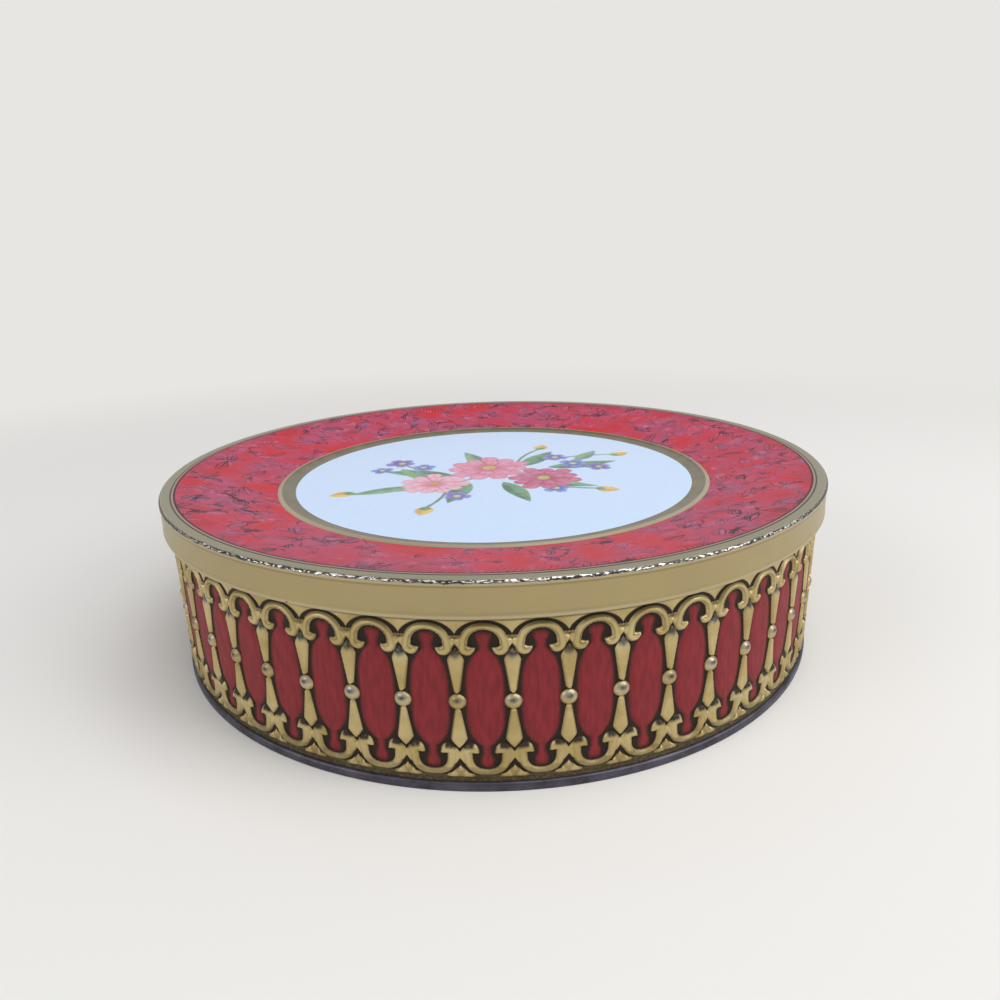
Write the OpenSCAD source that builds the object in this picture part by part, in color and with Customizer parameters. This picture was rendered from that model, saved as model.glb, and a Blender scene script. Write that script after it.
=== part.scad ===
// Round decorative tin box: an embossed body wall, a seamed base and a dished slip-on lid.
// Millimetres, +Z up, origin on the table under the middle of the base.

/* [Body] */
// Outside diameter of the body sheet, without its raised ornament
body_d = 148.4; // [120:0.2:200]
// Height of the body from the table to the top of its rolled edge
body_h = 38.4; // [34:0.1:80]
// Thickness of the tinplate
sheet_t = 0.3; // [0.2:0.05:0.5]
// Diameter of the roll along the top edge, turned outwards
roll_d = 1.4; // [1.1:0.1:2]
// Width of the folded side seam, inside the back of the wall
lock_w = 4.5; // [3:0.5:8]

/* [Ornament] */
// Width of one arched panel, before it is evened out round the wall
panel_w = 9; // [8:0.25:14]
// Width of the raised band of a scroll
band_w = 1.1; // [0.8:0.05:1.4]
// Gap between neighbouring scrolls
scroll_gap = 1.6; // [1:0.1:2.2]
// Opening angle between the two ends of a scroll
mouth_deg = 110; // [60:5:150]
// How far the scrolls and spindles stand out from the sheet
relief = 0.5; // [0.3:0.05:0.7]
// Diameter of the round studs
stud_d = 2.8; // [2:0.1:3.4]
// How far the studs stand out from the sheet
stud_relief = 0.8; // [0.4:0.05:0.95]
// Width of a spindle at its shoulder
spindle_w = 2.7; // [1.6:0.1:3.2]
// Width of a spindle where it meets the stud
spindle_neck_w = 0.6; // [0.4:0.1:1.2]
// Length of a spindle's pointed end, beyond its shoulder
spindle_point = 2; // [1:0.1:3]
// Gap between a spindle's neck and the stud
neck_gap = 0.15; // [0.1:0.05:0.5]
// Distance of a spindle's point from the middle of its scroll
spindle_gap = 1.1; // [0.8:0.1:2]
// Distance of the upper scrolls below the lid's edge
crown_drop = 1.3; // [0.6:0.1:3]
// Distance of the lower scrolls above the base seam
foot_rise = 1.4; // [0.6:0.1:3]

/* [Base] */
// Height of the folded seam that holds the wall's foot
seam_h = 1.6; // [1.2:0.1:3]
// How far the seam stands out from the body sheet
seam_w = 1; // [0.7:0.05:1.2]
// Rounding of the seam's outer edges
seam_round = 0.35; // [0.2:0.05:0.5]
// Height of the floor's underside above the table
floor_rise = 1.4; // [0.8:0.1:3]
// Gap between the wall's foot and the fold on each side
seam_clear = 0.1; // [0.05:0.05:0.2]

/* [Lid] */
// Depth of the skirt, from the lid's top to its lower edge
skirt_h = 6.6; // [5:0.1:12]
// Height of the hem folded up inside the skirt
hem_h = 1; // [0.6:0.1:2]
// Rounding of the lid's outer top edge
corner_r = 0.7; // [0.5:0.05:1]
// Width of the flat rim round the top
rim_w = 3.2; // [3:0.1:5]
// Drop of the sloped border from the rim to the ring
border_drop = 4.4; // [1:0.1:6]
// Width of the ring round the medallion
ring_w = 4; // [1:0.1:8]
// Drop of the ring to the medallion
ring_drop = 0.5; // [0.2:0.1:2]
// Diameter of the flat medallion
medallion_d = 96.2; // [60:0.2:100]
// Gap between the hem and the rolled edge
lid_clear = 0.4; // [0.2:0.05:0.6]
// Gap between the rim's underside and the rolled edge
seat_clear = 0.1; // [0.05:0.05:0.3]

/* [Hidden] */
$fn = 96;

// Body sheet and its roll, which laps this share of the sheet's thickness
lap_share = 0.7;
body_r = body_d / 2;
bore_r = body_r - sheet_t;
roll_lap = lap_share * sheet_t;
roll_out_r = body_r + roll_d - roll_lap;
roll_mid_r = roll_out_r - roll_d / 2;
roll_z = body_h - roll_d / 2;

// Lid radii from the roll outwards, and its heights from the roll upwards
hem_in_r = roll_out_r + lid_clear;
skirt_in_r = hem_in_r + sheet_t;
skirt_out_r = skirt_in_r + sheet_t;
rim_in_r = skirt_out_r - rim_w;
medallion_r = medallion_d / 2;
ring_out_r = medallion_r + ring_w;
lid_top_z = body_h + seat_clear + sheet_t;
lid_low_z = lid_top_z - skirt_h;
border_z = lid_top_z - border_drop;
dish_z = border_z - ring_drop;
corner_in_r = corner_r - sheet_t;
corner_steps = 6;

// Base radii on each side of the wall's foot
groove_out_r = body_r + seam_clear;
groove_in_r = bore_r - seam_clear;
leg_in_r = groove_in_r - sheet_t;
seam_out_r = body_r + seam_w;
floor_z = floor_rise + sheet_t;

// Whole panels round the wall, with a stud at the front
panel_count = round(PI * body_d / panel_w);
panel_deg = 360 / panel_count;
panel_pitch = PI * body_d / panel_count;
front_deg = -90;
back_deg = 90;

// Scrolls: horseshoes between neighbouring balusters, a row under the lid and a row over the seam
scroll_out_r = (panel_pitch - scroll_gap) / 2;
upper_z = lid_low_z - crown_drop - scroll_out_r;
lower_z = seam_h + foot_rise + scroll_out_r;
stud_z = (upper_z + lower_z) / 2;

// Ornament roots reach past the sheet, by more than the wall curves under them, and the bore trims them
curve_depth = pow(scroll_out_r, 2) / body_r;
root = 2 * sheet_t + curve_depth;
stud_mid_r = body_r + stud_relief - stud_d / 2;
neck_rise = stud_d / 2 + neck_gap;

// Side seam: two more thicknesses of sheet folded against the inside
lock_t = 2 * sheet_t;
lock_deg = 360 * lock_w / (2 * PI * bore_r);
lock_low_z = floor_z + sheet_t;
lock_high_z = roll_z - roll_d / 2;

// Points along an arc about [x, y] from angle a to angle b
function arc(x, y, r, a, b) = [
  for (i = [0 : corner_steps])
    let (t = a + (b - a) * i / corner_steps)
    [x + r * cos(t), y + r * sin(t)]
];

// Puts a raised shape on the wall: its x runs round the wall, its y up and its z outwards
module on_wall(angle) {
  rotate([0, 0, angle])
    translate([body_r - root, 0, 0])
      rotate([90, 0, 90])
        children();
}

// One scroll: a flat ring that is open at its foot
module scroll() {
  rotate([0, 0, mouth_deg / 2 - 90])
    rotate_extrude(angle = 360 - mouth_deg)
      translate([scroll_out_r - band_w, 0])
        square([band_w, root + relief]);
}

// One spindle, from its neck at the stud to its point at the scroll
module spindle(neck_z, shoulder_z, point_z) {
  linear_extrude(root + relief)
    polygon([
      [-spindle_neck_w / 2, neck_z],
      [spindle_neck_w / 2, neck_z],
      [spindle_w / 2, shoulder_z],
      [0, point_z],
      [-spindle_w / 2, shoulder_z]
    ]);
}

// The two scrolls of one panel, the lower one upside down
module panel_scrolls(angle) {
  on_wall(angle) {
    translate([0, upper_z, 0])
      scroll();
    translate([0, lower_z, 0])
      mirror([0, 1, 0])
        scroll();
  }
}

// The baluster between two panels: two spindles, and a stud with a pole facing outwards
module baluster(angle) {
  on_wall(angle) {
    spindle(stud_z + neck_rise, upper_z - spindle_gap - spindle_point, upper_z - spindle_gap);
    spindle(stud_z - neck_rise, lower_z + spindle_gap + spindle_point, lower_z + spindle_gap);
  }
  rotate([0, 0, angle])
    translate([stud_mid_r, 0, stud_z])
      rotate([0, 90, 0])
        sphere(d = stud_d);
}

// Folded side seam inside the back of the wall
module side_seam() {
  rotate([0, 0, back_deg - lock_deg / 2])
    rotate_extrude(angle = lock_deg)
      translate([bore_r - lock_t, lock_low_z])
        square([lock_t + sheet_t / 2, lock_high_z - lock_low_z]);
}

// Embossed wall with its rolled top edge; its foot stands in the base's fold
module body_wall() {
  color("#b9a064") {
    difference() {
      union() {
        translate([0, 0, sheet_t])
          cylinder(r = body_r, h = roll_z - sheet_t);
        rotate_extrude()
          translate([roll_mid_r, roll_z])
            circle(d = roll_d);
        for (i = [0 : panel_count - 1]) {
          panel_scrolls(front_deg + (i + 0.5) * panel_deg);
          baluster(front_deg + i * panel_deg);
        }
      }
      cylinder(r = bore_r, h = 2 * body_h);
    }
    side_seam();
  }
}

// Stamped base: a raised floor and the fold that holds the wall's foot
module base() {
  color("#4f4b55")
    rotate_extrude()
      polygon([
        [0, floor_rise],
        [leg_in_r, floor_rise],
        [leg_in_r, 0],
        [seam_out_r - seam_round, 0],
        [seam_out_r, seam_round],
        [seam_out_r, seam_h - seam_round],
        [seam_out_r - seam_round, seam_h],
        [groove_out_r, seam_h],
        [groove_out_r, sheet_t],
        [groove_in_r, sheet_t],
        [groove_in_r, floor_z],
        [0, floor_z]
      ]);
}

// Dished slip-on lid: skirt with a folded hem, flat rim, sloped border, ring and medallion
module lid() {
  color("#b5414f")
    rotate_extrude()
      polygon(concat(
        [[hem_in_r, lid_low_z], [skirt_out_r, lid_low_z]],
        arc(skirt_out_r - corner_r, lid_top_z - corner_r, corner_r, 0, 90),
        [
          [rim_in_r, lid_top_z],
          [ring_out_r, border_z],
          [medallion_r, dish_z],
          [0, dish_z],
          [0, dish_z - sheet_t],
          [medallion_r, dish_z - sheet_t],
          [ring_out_r, border_z - sheet_t],
          [rim_in_r, lid_top_z - sheet_t]
        ],
        arc(skirt_out_r - corner_r, lid_top_z - corner_r, corner_in_r, 90, 0),
        [[skirt_in_r, lid_low_z + hem_h], [hem_in_r, lid_low_z + hem_h]]
      ));
}

body_wall();
base();
lid();
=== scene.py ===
"""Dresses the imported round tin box: embossed wall, rolled edge, seamed base and dished printed lid."""
import math
from types import SimpleNamespace

import bmesh
import bpy
import numpy as np
from bpy.props import FloatProperty, FloatVectorProperty, IntProperty, PointerProperty
from mathutils import Matrix, Vector


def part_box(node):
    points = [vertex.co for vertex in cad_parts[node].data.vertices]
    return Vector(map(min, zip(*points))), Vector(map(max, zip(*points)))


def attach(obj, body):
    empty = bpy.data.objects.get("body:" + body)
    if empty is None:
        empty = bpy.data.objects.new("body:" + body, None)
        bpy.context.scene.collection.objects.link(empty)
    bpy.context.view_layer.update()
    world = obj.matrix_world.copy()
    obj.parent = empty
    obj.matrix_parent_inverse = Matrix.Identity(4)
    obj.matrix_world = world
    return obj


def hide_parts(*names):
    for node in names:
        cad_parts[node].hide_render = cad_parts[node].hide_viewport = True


bl_info = {
    "name": "Round tin box",
    "version": (1, 0, 0),
    "blender": (4, 5, 0),
    "location": "3D View > Sidebar > Tin box",
    "description": "Builds the printed and embossed sheets of a round tin box round its packed frame",
    "category": "Object",
}

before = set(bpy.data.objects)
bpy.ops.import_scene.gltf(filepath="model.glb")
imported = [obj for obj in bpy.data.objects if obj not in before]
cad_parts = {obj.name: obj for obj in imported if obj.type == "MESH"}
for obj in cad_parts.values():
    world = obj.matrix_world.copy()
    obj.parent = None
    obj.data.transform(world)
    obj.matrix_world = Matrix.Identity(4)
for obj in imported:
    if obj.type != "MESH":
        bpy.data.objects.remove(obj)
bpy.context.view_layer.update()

# Lengths are metres in Blender and millimetres in the formulas; a pattern's scale is PER_MM over its size
MM = 0.001
PER_MM = 1000.0
TURN = 2.0 * math.pi
FRONT = -math.pi / 2.0
BACK = math.pi / 2.0

# Sockets of a Mix node that mixes colours, and its settings with the socket of the mixed colour
FACTOR, COLOUR_A, COLOUR_B = 0, 6, 7
MIX = {"data_type": "RGBA", "out": 2}

# Attributes of the wall's points that carry its print, with painted shade and painted reflection in its
# darkening and its tin grey
WALL_PRINT = ("gold", "red", "toner", "bare")

# Columns of a turned sheet, and of the medallion, whose picture needs finer ones
TURN_STEPS = 480
PICTURE_STEPS = 640

# Steps of the wall's skin to one step of its lining
LINING_STEP = 3

# Depth and half-width of the line that the side seam leaves in the wall, in millimetres
SEAM_DEPTH, SEAM_HALF = 0.18, 0.3


def linear(code):
    """Linear red, green and blue of an sRGB hex colour such as 'b6a47a'."""
    srgb = np.array([int(code[i:i + 2], 16) for i in (0, 2, 4)]) / 255.0
    return tuple(np.where(srgb <= 0.04045, srgb / 12.92, ((srgb + 0.055) / 1.055) ** 2.4))


def length(name, description, size):
    """A length property whose default is given in millimetres."""
    return FloatProperty(name=name, description=description, default=size * MM, unit="LENGTH", precision=5)


def tint(name, description, code):
    """A colour property whose default is given as an sRGB hex value."""
    return FloatVectorProperty(name=name, description=description, default=linear(code), subtype="COLOR",
                               size=3, min=0.0, max=1.0)


def plain_number(name, description, value, subtype="NONE"):
    """A property that is a plain number, or an angle in radians where the subtype says so."""
    return FloatProperty(name=name, description=description, default=value, subtype=subtype)


def reach(node):
    """Smallest distance, in millimetres, that a round node reaches from the axis on its four sides."""
    low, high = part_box(node)
    return min(-low.x, -low.y, high.x, high.y) / MM


def top(node):
    """Height of a node's highest point, in millimetres."""
    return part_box(node)[1].z / MM


def foot(node):
    """Height of a node's lowest point, in millimetres."""
    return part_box(node)[0].z / MM


class TinSizes(bpy.types.PropertyGroup):
    """Sizes of the sheets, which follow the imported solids."""
    sheet: length("Sheet", "Thickness of the tinplate", 0.3)
    body_r: length("Body radius", "Outside radius of the body sheet", 74.55)
    body_top: length("Body height", "Height of the rolled edge's top", top("body_wall"))
    roll_out: length("Roll reach", "Outside radius of the rolled edge", reach("body_wall"))
    wall_foot: length("Wall foot", "Height where the wall's sheet starts, inside the base's fold", 0.4)
    seam_out: length("Seam reach", "Outside radius of the base's fold", reach("base"))
    seam_h: length("Seam height", "Height of the base's fold", 1.6)
    seam_in: length("Seam inside", "Inside radius of the base's fold, under the floor", 73.5)
    floor_top: length("Floor", "Height of the floor's upper side", top("base"))
    lock_w: length("Side seam width", "Width of the folded side seam inside the back", 4.5)
    lid_out: length("Lid reach", "Outside radius of the lid's skirt", reach("lid") - 0.005)
    lid_top: length("Lid top", "Height of the lid's highest edge", top("lid"))
    lid_low: length("Lid edge", "Height of the skirt's lower edge", foot("lid"))
    hem_h: length("Hem", "Height of the hem folded up inside the skirt", 1.0)
    corner_r: length("Lid corner", "Rounding of the lid's outer top edge", 0.7)
    rim_in: length("Rim inside", "Inside radius of the flat rim", 73.2)
    ring_out: length("Ring outside", "Outside radius of the ring round the medallion", 52.1)
    ring_z: length("Ring height", "Height of the border's inner edge", 34.4)
    medallion_r: length("Medallion radius", "Radius of the flat medallion", 48.1)
    medallion_z: length("Medallion height", "Height of the medallion's face", 33.9)


class PanelOrnament(bpy.types.PropertyGroup):
    """One arched panel of the wall, in the flat. Heights are above the table."""
    panels: IntProperty(name="Panels", description="Arched panels round the wall", default=52)
    columns: IntProperty(name="Columns", description="Mesh columns in one panel", default=60)
    row_step: length("Row step", "Distance between mesh rows over the ornament", 0.165)
    ground: length("Ground depth", "How far the ground between the ornaments is pressed in", 0.15)
    steepest: plain_number("Steepest slope", "Rise over run at which the relief's shading is held", 1.3)
    pillow: length("Panel pillow", "How far a panel's middle swells out of the ground", 0.16)
    relief: length("Relief", "How far scrolls and spindles stand out from the sheet", 0.45)
    stud_relief: length("Stud relief", "How far studs stand out from the sheet", 0.75)
    scroll_half: length("Scroll half width", "Half the width of a scroll, to the middle of its band", 3.15)
    heel_x: length("Heel", "Distance of a scroll's heel from the panel's middle", 3.24)
    belly_x: length("Belly", "Distance of a scroll's belly from the panel's middle", 2.45)
    toe_x: length("Toe", "Distance of a scroll's toe from the panel's middle", 1.38)
    toe_half: length("Toe half width", "Half the width of the band at its toe", 0.08)
    upper_crown_z: length("Upper crown", "Height of the upper scroll's band at its crown", 30.3)
    upper_fullness: plain_number("Upper fullness", "Power of the upper bow's curve", 1.0)
    upper_side_z: length("Upper side", "Height at which the upper scroll's bow ends", 27.55)
    upper_crown_half: length("Upper crown half", "Half the width of the upper band at its crown", 0.54)
    upper_side_half: length("Upper side half", "Half the width of the upper band at its side", 0.66)
    upper_heel: length("Upper heel", "Distance of the upper heel below the side", 1.12)
    upper_heel_half: length("Upper heel half", "Half the width of the upper band at its heel", 0.78)
    upper_belly: length("Upper belly", "Distance of the upper belly below the side", 1.58)
    upper_belly_half: length("Upper belly half", "Half the width of the upper band at its belly", 0.76)
    upper_toe: length("Upper toe", "Distance of the upper toe below the side", 1.05)
    upper_knot_z: length("Upper knot", "Height of the knot between upper scrolls", 27.58)
    upper_apex: length("Upper spandrel", "Height of the upper spandrel's point", 28.95)
    upper_outline: length("Upper outline", "Width of the printed outline over an upper scroll", 0.45)
    upper_groove: length("Upper groove", "Depth of the groove along an upper scroll", 0.2)
    upper_knot_half: length("Upper knot half", "Half the height of an upper knot at its middle", 0.42)
    upper_neck: length("Upper neck", "Height of the upper spindle's neck", 18.45)
    upper_neck_half: length("Upper neck half", "Half the width of the upper spindle's neck", 0.47)
    upper_shoulder: length("Upper shoulder", "Height of the upper spindle's shoulder", 24.3)
    upper_tip: length("Upper tip", "Height of the upper spindle's tip", 26.5)
    lower_crown_z: length("Lower crown", "Height of the lower scroll's band at its lowest point", 3.52)
    lower_fullness: plain_number("Lower fullness", "Power of the lower bow's curve", 0.78)
    lower_side_z: length("Lower side", "Height at which the lower scroll's bow ends", 6.65)
    lower_crown_half: length("Lower crown half", "Half the width of the lower band at its lowest point", 0.5)
    lower_side_half: length("Lower side half", "Half the width of the lower band at its side", 0.73)
    lower_heel: length("Lower heel", "Distance of the lower heel above the side", 1.15)
    lower_heel_half: length("Lower heel half", "Half the width of the lower band at its heel", 0.86)
    lower_belly: length("Lower belly", "Distance of the lower belly above the side", 1.44)
    lower_belly_half: length("Lower belly half", "Half the width of the lower band at its belly", 0.88)
    lower_toe: length("Lower toe", "Distance of the lower toe above the side", 0.62)
    lower_knot_z: length("Lower knot", "Height of the knot between lower scrolls", 6.7)
    lower_apex: length("Lower spandrel", "Height of the lower spandrel's point", 4.75)
    lower_outline: length("Lower outline", "Width of the printed outline under a lower scroll", 0.36)
    lower_groove: length("Lower groove", "Depth of the groove along a lower scroll", 0.05)
    lower_knot_half: length("Lower knot half", "Half the height of a lower knot at its middle", 0.64)
    lower_neck: length("Lower neck", "Height of the lower spindle's neck", 15.6)
    lower_neck_half: length("Lower neck half", "Half the width of the lower spindle's neck", 0.43)
    lower_shoulder: length("Lower shoulder", "Height of the lower spindle's shoulder", 9.95)
    lower_tip: length("Lower tip", "Height of the lower spindle's tip", 8.1)
    fan_half: length("Fan half width", "Half the width of the gold fan between lower scrolls", 2.35)
    fan_z: length("Fan foot", "Height of the fan's foot", 2.45)
    knot_flare: length("Knot flare", "How much higher a knot is at its ends, on each side", 1.0)
    bead_r: length("Bead radius", "Radius of the small beads above an upper knot", 0.26)
    stud_z: length("Stud", "Height of a stud's middle", 16.86)
    stud_w: length("Stud half width", "Half the width of a stud", 1.42)
    stud_h: length("Stud half height", "Half the height of a stud", 1.36)
    spindle_half: length("Spindle half width", "Half the width of a spindle's shoulder", 1.35)
    panel_half: length("Panel half width", "Half the width of the printed panel", 3.08)
    panel_z: length("Panel middle", "Height of the printed panel's widest point", 17.0)
    panel_rise: length("Panel rise", "Height of the panel's rounded part above its middle", 9.6)
    panel_fall: length("Panel fall", "Height of the panel's rounded part below its middle", 8.9)
    panel_top: length("Panel top", "Height of the panel's upper neck", 29.1)
    panel_bottom: length("Panel bottom", "Height of the panel's lower neck", 4.4)
    neck_in: length("Panel upper neck", "Half the width of the panel's upper neck, between the toes", 0.74)
    neck_low: length("Panel lower neck", "Half the width of the panel's lower neck, between the toes", 0.6)
    neck_flare: length("Neck flare", "How much wider a neck's end is, on each side", 0.45)
    end_round: length("End rounding", "Rounding of the ends of the printed panel", 0.34)


class TinColours(bpy.types.PropertyGroup):
    """Colours of the lacquers, prints and metals."""
    gold: tint("Gold", "Gold lacquer on the relief", "cfbc88")
    gold_deep: tint("Deep gold", "Gold lacquer where it is thicker", "b59f67")
    skirt: tint("Skirt gold", "Gold lacquer on the lid's skirt", "b3a173")
    skirt_deep: tint("Skirt shade", "Darker clouds in the skirt's lacquer", "ac9a6f")
    # Painted reflection: the rim's duller grey stands for the sky reflected in the flat rim
    rim: tint("Rim", "Dulled lacquer on the flat rim", "989279")
    ring: tint("Ring", "Gilt ring round the medallion", "7d7558")
    ring_deep: tint("Ring shade", "Darker clouds in the gilt ring", "686147")
    # Painted highlight: this pale colour lays the bright line along the ring's bead and the pale bands at the
    # skirt's hem and bevel
    cream: tint("Cream", "Pale printed lines along the ring and the rim", "cabf9f")
    # Also the colour of painted shade and painted dark reflection on the wall, and of the painted shade line
    # beside the skirt's bevel
    antique: tint("Antique", "Dark toner in the grooves of the relief", "322a20")
    print_black: tint("Print black", "Ground of the printed wall", "281c12")
    panel_red: tint("Panel red", "Printed panels on the wall", "922c32")
    panel_deep: tint("Panel shade", "Darker streaks in the printed panels", "782428")
    border_red: tint("Border red", "Printed border of the lid", "c32838")
    border_rose: tint("Border rose", "Rose veils in the border", "b2405c")
    border_mauve: tint("Border mauve", "Mauve veils in the border", "a56a98")
    border_pale: tint("Border pale", "Pale patches in the border", "d391a6")
    border_ink: tint("Border ink", "Line work in the border", "2a1320")
    # Partly painted reflection: the enamel's white is tinted blue for the sky's light on it
    white: tint("White", "Enamel white of the medallion", "cee3ff")
    tin: tint("Tin", "Bare tinplate", "c4c2bc")
    tin_stain: tint("Tin stain", "Dulled patches on bare tinplate", "8f8b82")
    steel: tint("Dark tin", "Plain tinplate darkened with age", "5d5964")
    steel_deep: tint("Dark tin shade", "Darker patches of the base", "3e3a43")
    fleck: tint("Fleck", "Bright tin where an edge is rubbed", "f2f0ec")
    fine_line: tint("Fine line", "Pale line round the border", "a8917f")
    worn: tint("Worn tin", "Grey tin where the lid's edge is worn", "77727a")
    rust: tint("Oxide", "Oxide along worn edges", "2a2420")


class StudioSet(bpy.types.PropertyGroup):
    """Camera and light."""
    camera_out: length("Camera distance", "Distance of the camera from the tin's axis", 174.53)
    camera_up: length("Camera height", "Height of the camera above the table", 82.61)
    azimuth: plain_number("Azimuth", "Turn of the camera round the tin from the front", -0.02804, "ANGLE")
    yaw: plain_number("Yaw", "Turn of the view to the right", 0.0078, "ANGLE")
    pitch: plain_number("Pitch", "Tilt of the view downwards", 0.3093, "ANGLE")
    roll: plain_number("Roll", "Turn of the camera about its view", -0.0271, "ANGLE")
    lens: plain_number("Lens", "Focal length, in millimetres", 25.967)
    sky_power: plain_number("Sky strength", "Strength of the even light from all sides", 0.44)
    sensor: plain_number("Sensor", "Width of the camera's sensor, in millimetres", 36.0)
    sky: tint("Sky", "Colour of the light from all round", "f4f7fc")
    floor: tint("Floor", "Colour of the floor", "eeece8")
    backdrop: tint("Backdrop", "Tone of the backdrop", "e8e6e3")


def in_mm(group):
    """All values of a property group under their own names, with lengths in millimetres."""
    values = {}
    for name in type(group).__annotations__:
        value = getattr(group, name)
        is_length = isinstance(value, float) and group.bl_rna.properties[name].unit == "LENGTH"
        values[name] = value / MM if is_length else value
    return SimpleNamespace(**values)


def smooth(value, low, high):
    """Smooth step: 0 below low, 1 above high, and a cubic between them."""
    t = np.clip((value - low) / (high - low), 0.0, 1.0)
    return t * t * (3.0 - 2.0 * t)


def window(value, rise_from, rise_to, fall_from, fall_to):
    """Soft window: a smooth step up between two values, and a smooth step down between two others."""
    return smooth(value, rise_from, rise_to) * smooth(-value, -fall_to, -fall_from)


# Meshes

def round_axis(r, angle, z):
    """Points at a radius, at an angle about the axis and at a height."""
    return np.stack(np.broadcast_arrays(r * np.cos(angle), r * np.sin(angle), z), -1)


def grid_faces(rows, columns, first=0, flip=False):
    """Quads of a grid of vertices numbered row by row, facing columns cross rows, or the other way."""
    corner = first + np.arange((rows - 1) * columns).reshape(rows - 1, columns)[:, :-1].ravel()
    quads = np.stack([corner, corner + 1, corner + columns + 1, corner + columns], 1)
    return quads[:, ::-1] if flip else quads


def stitch(fine, coarse, flip=False):
    """Triangles between a row of vertices and a row with a third of its steps, side by side."""
    a, b, c, d = fine[:-1:3], fine[1::3], fine[2::3], fine[3::3]
    p, q = coarse[:-1], coarse[1:]
    tris = np.concatenate([np.stack(t, 1) for t in ((a, b, p), (b, c, p), (c, q, p), (c, d, q))])
    return tris[:, ::-1] if flip else tris


def fill_mesh(name, points, face_sets, slots=None):
    """A mesh from an array of points and sets of faces, each set an array of quads or of triangles."""
    mesh = bpy.data.meshes.new(name)
    mesh.vertices.add(len(points))
    mesh.vertices.foreach_set("co", np.ascontiguousarray(points, np.float32).ravel())
    corners = np.concatenate([faces.ravel() for faces in face_sets])
    sides = np.concatenate([np.full(len(faces), faces.shape[1]) for faces in face_sets])
    mesh.loops.add(len(corners))
    mesh.loops.foreach_set("vertex_index", corners.astype(np.int32))
    mesh.polygons.add(len(sides))
    mesh.polygons.foreach_set("loop_start", (np.cumsum(sides) - sides).astype(np.int32))
    if slots is not None:
        mesh.polygons.foreach_set("material_index", np.asarray(slots, np.int32))
    mesh.update(calc_edges=True)
    mesh.shade_smooth()
    return mesh


def place(mesh, materials, body, node):
    """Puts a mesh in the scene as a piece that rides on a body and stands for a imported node."""
    for material in materials:
        mesh.materials.append(material)
    piece = bpy.data.objects.new(mesh.name, mesh)
    bpy.context.scene.collection.objects.link(piece)
    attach(piece, body)
    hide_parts(node)


def arc(r, z, radius, start, end, steps=8):
    """Points of a profile along an arc about (r, z), from one angle to another, in degrees."""
    t = np.radians(np.linspace(start, end, steps + 1))
    return np.stack([r + radius * np.cos(t), z + radius * np.sin(t)], 1)


def weld(mesh, capped=False):
    """Merges points that lie in one place, and where capped closes open ends and turns faces outwards."""
    work = bmesh.new()
    work.from_mesh(mesh)
    bmesh.ops.remove_doubles(work, verts=work.verts, dist=1e-7)
    if capped:
        bmesh.ops.holes_fill(work, edges=[e for e in work.edges if e.is_boundary])
        bmesh.ops.recalc_face_normals(work, faces=work.faces)
    work.to_mesh(mesh)
    work.free()


def lathe(name, profile, steps=TURN_STEPS, slots=None, poles=False):
    """Turns a profile of (radius, height) points, in millimetres, about the axis.

    The profile runs anticlockwise with the radius to the right, so that faces point outwards. It is a closed
    loop, or with poles an open line from the axis to the axis, whose ends are merged there. The UV map has
    the share of a turn across and the length along the profile, in millimetres, upwards."""
    count = len(profile)
    angle = BACK + TURN * np.arange(steps + 1) / steps
    ring = round_axis(profile[:, :1], angle[:-1], profile[:, 1:]).reshape(-1, 3) * MM
    rows = count - 1 if poles else count
    i, j = np.meshgrid(np.arange(rows), np.arange(steps), indexing="ij")
    up, on = (i + 1) % count, (j + 1) % steps
    quads = np.stack([i * steps + j, i * steps + on, up * steps + on, up * steps + j], -1).reshape(-1, 4)
    face_slots = None if slots is None else np.repeat(np.asarray(slots)[:rows], steps)
    mesh = fill_mesh(name, ring, [quads], face_slots)
    run = np.concatenate([[0.0], np.cumsum(np.hypot(*np.diff(profile, axis=0).T)), [0.0]])
    u = np.stack([j, j + 1, j + 1, j], -1) / steps
    v = np.stack([run[i], run[i], run[i + 1], run[i + 1]], -1)
    layer = mesh.uv_layers.new(name="turned")
    layer.data.foreach_set("uv", np.stack([u, v], -1).astype(np.float32).ravel())
    if poles:
        weld(mesh)
    mesh.set_sharp_from_angle(angle=math.radians(32.0))
    return mesh


# Ornament of the wall

def row_of(values, prefix):
    """The values whose names start with a prefix, under the rest of their names."""
    return SimpleNamespace(**{k[len(prefix):]: v for k, v in vars(values).items() if k.startswith(prefix)})


def smooth_path(knots, steps):
    """Points of a smooth curve through knots: cubics whose tangent at a knot joins its two neighbours.

    The first and the last knot only set tangents."""
    a, b, c, d = (knots[i:len(knots) - 3 + i, None] for i in range(4))
    t = np.linspace(0.0, 1.0, steps, endpoint=False)[:, None]
    cubic = 2.0 * b + (c - a) * t + (2.0 * a - 5.0 * b + 4.0 * c - d) * t ** 2
    cubic = cubic + (3.0 * b - a - 3.0 * c + d) * t ** 3
    return 0.5 * cubic.reshape(-1, knots.shape[1])


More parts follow.
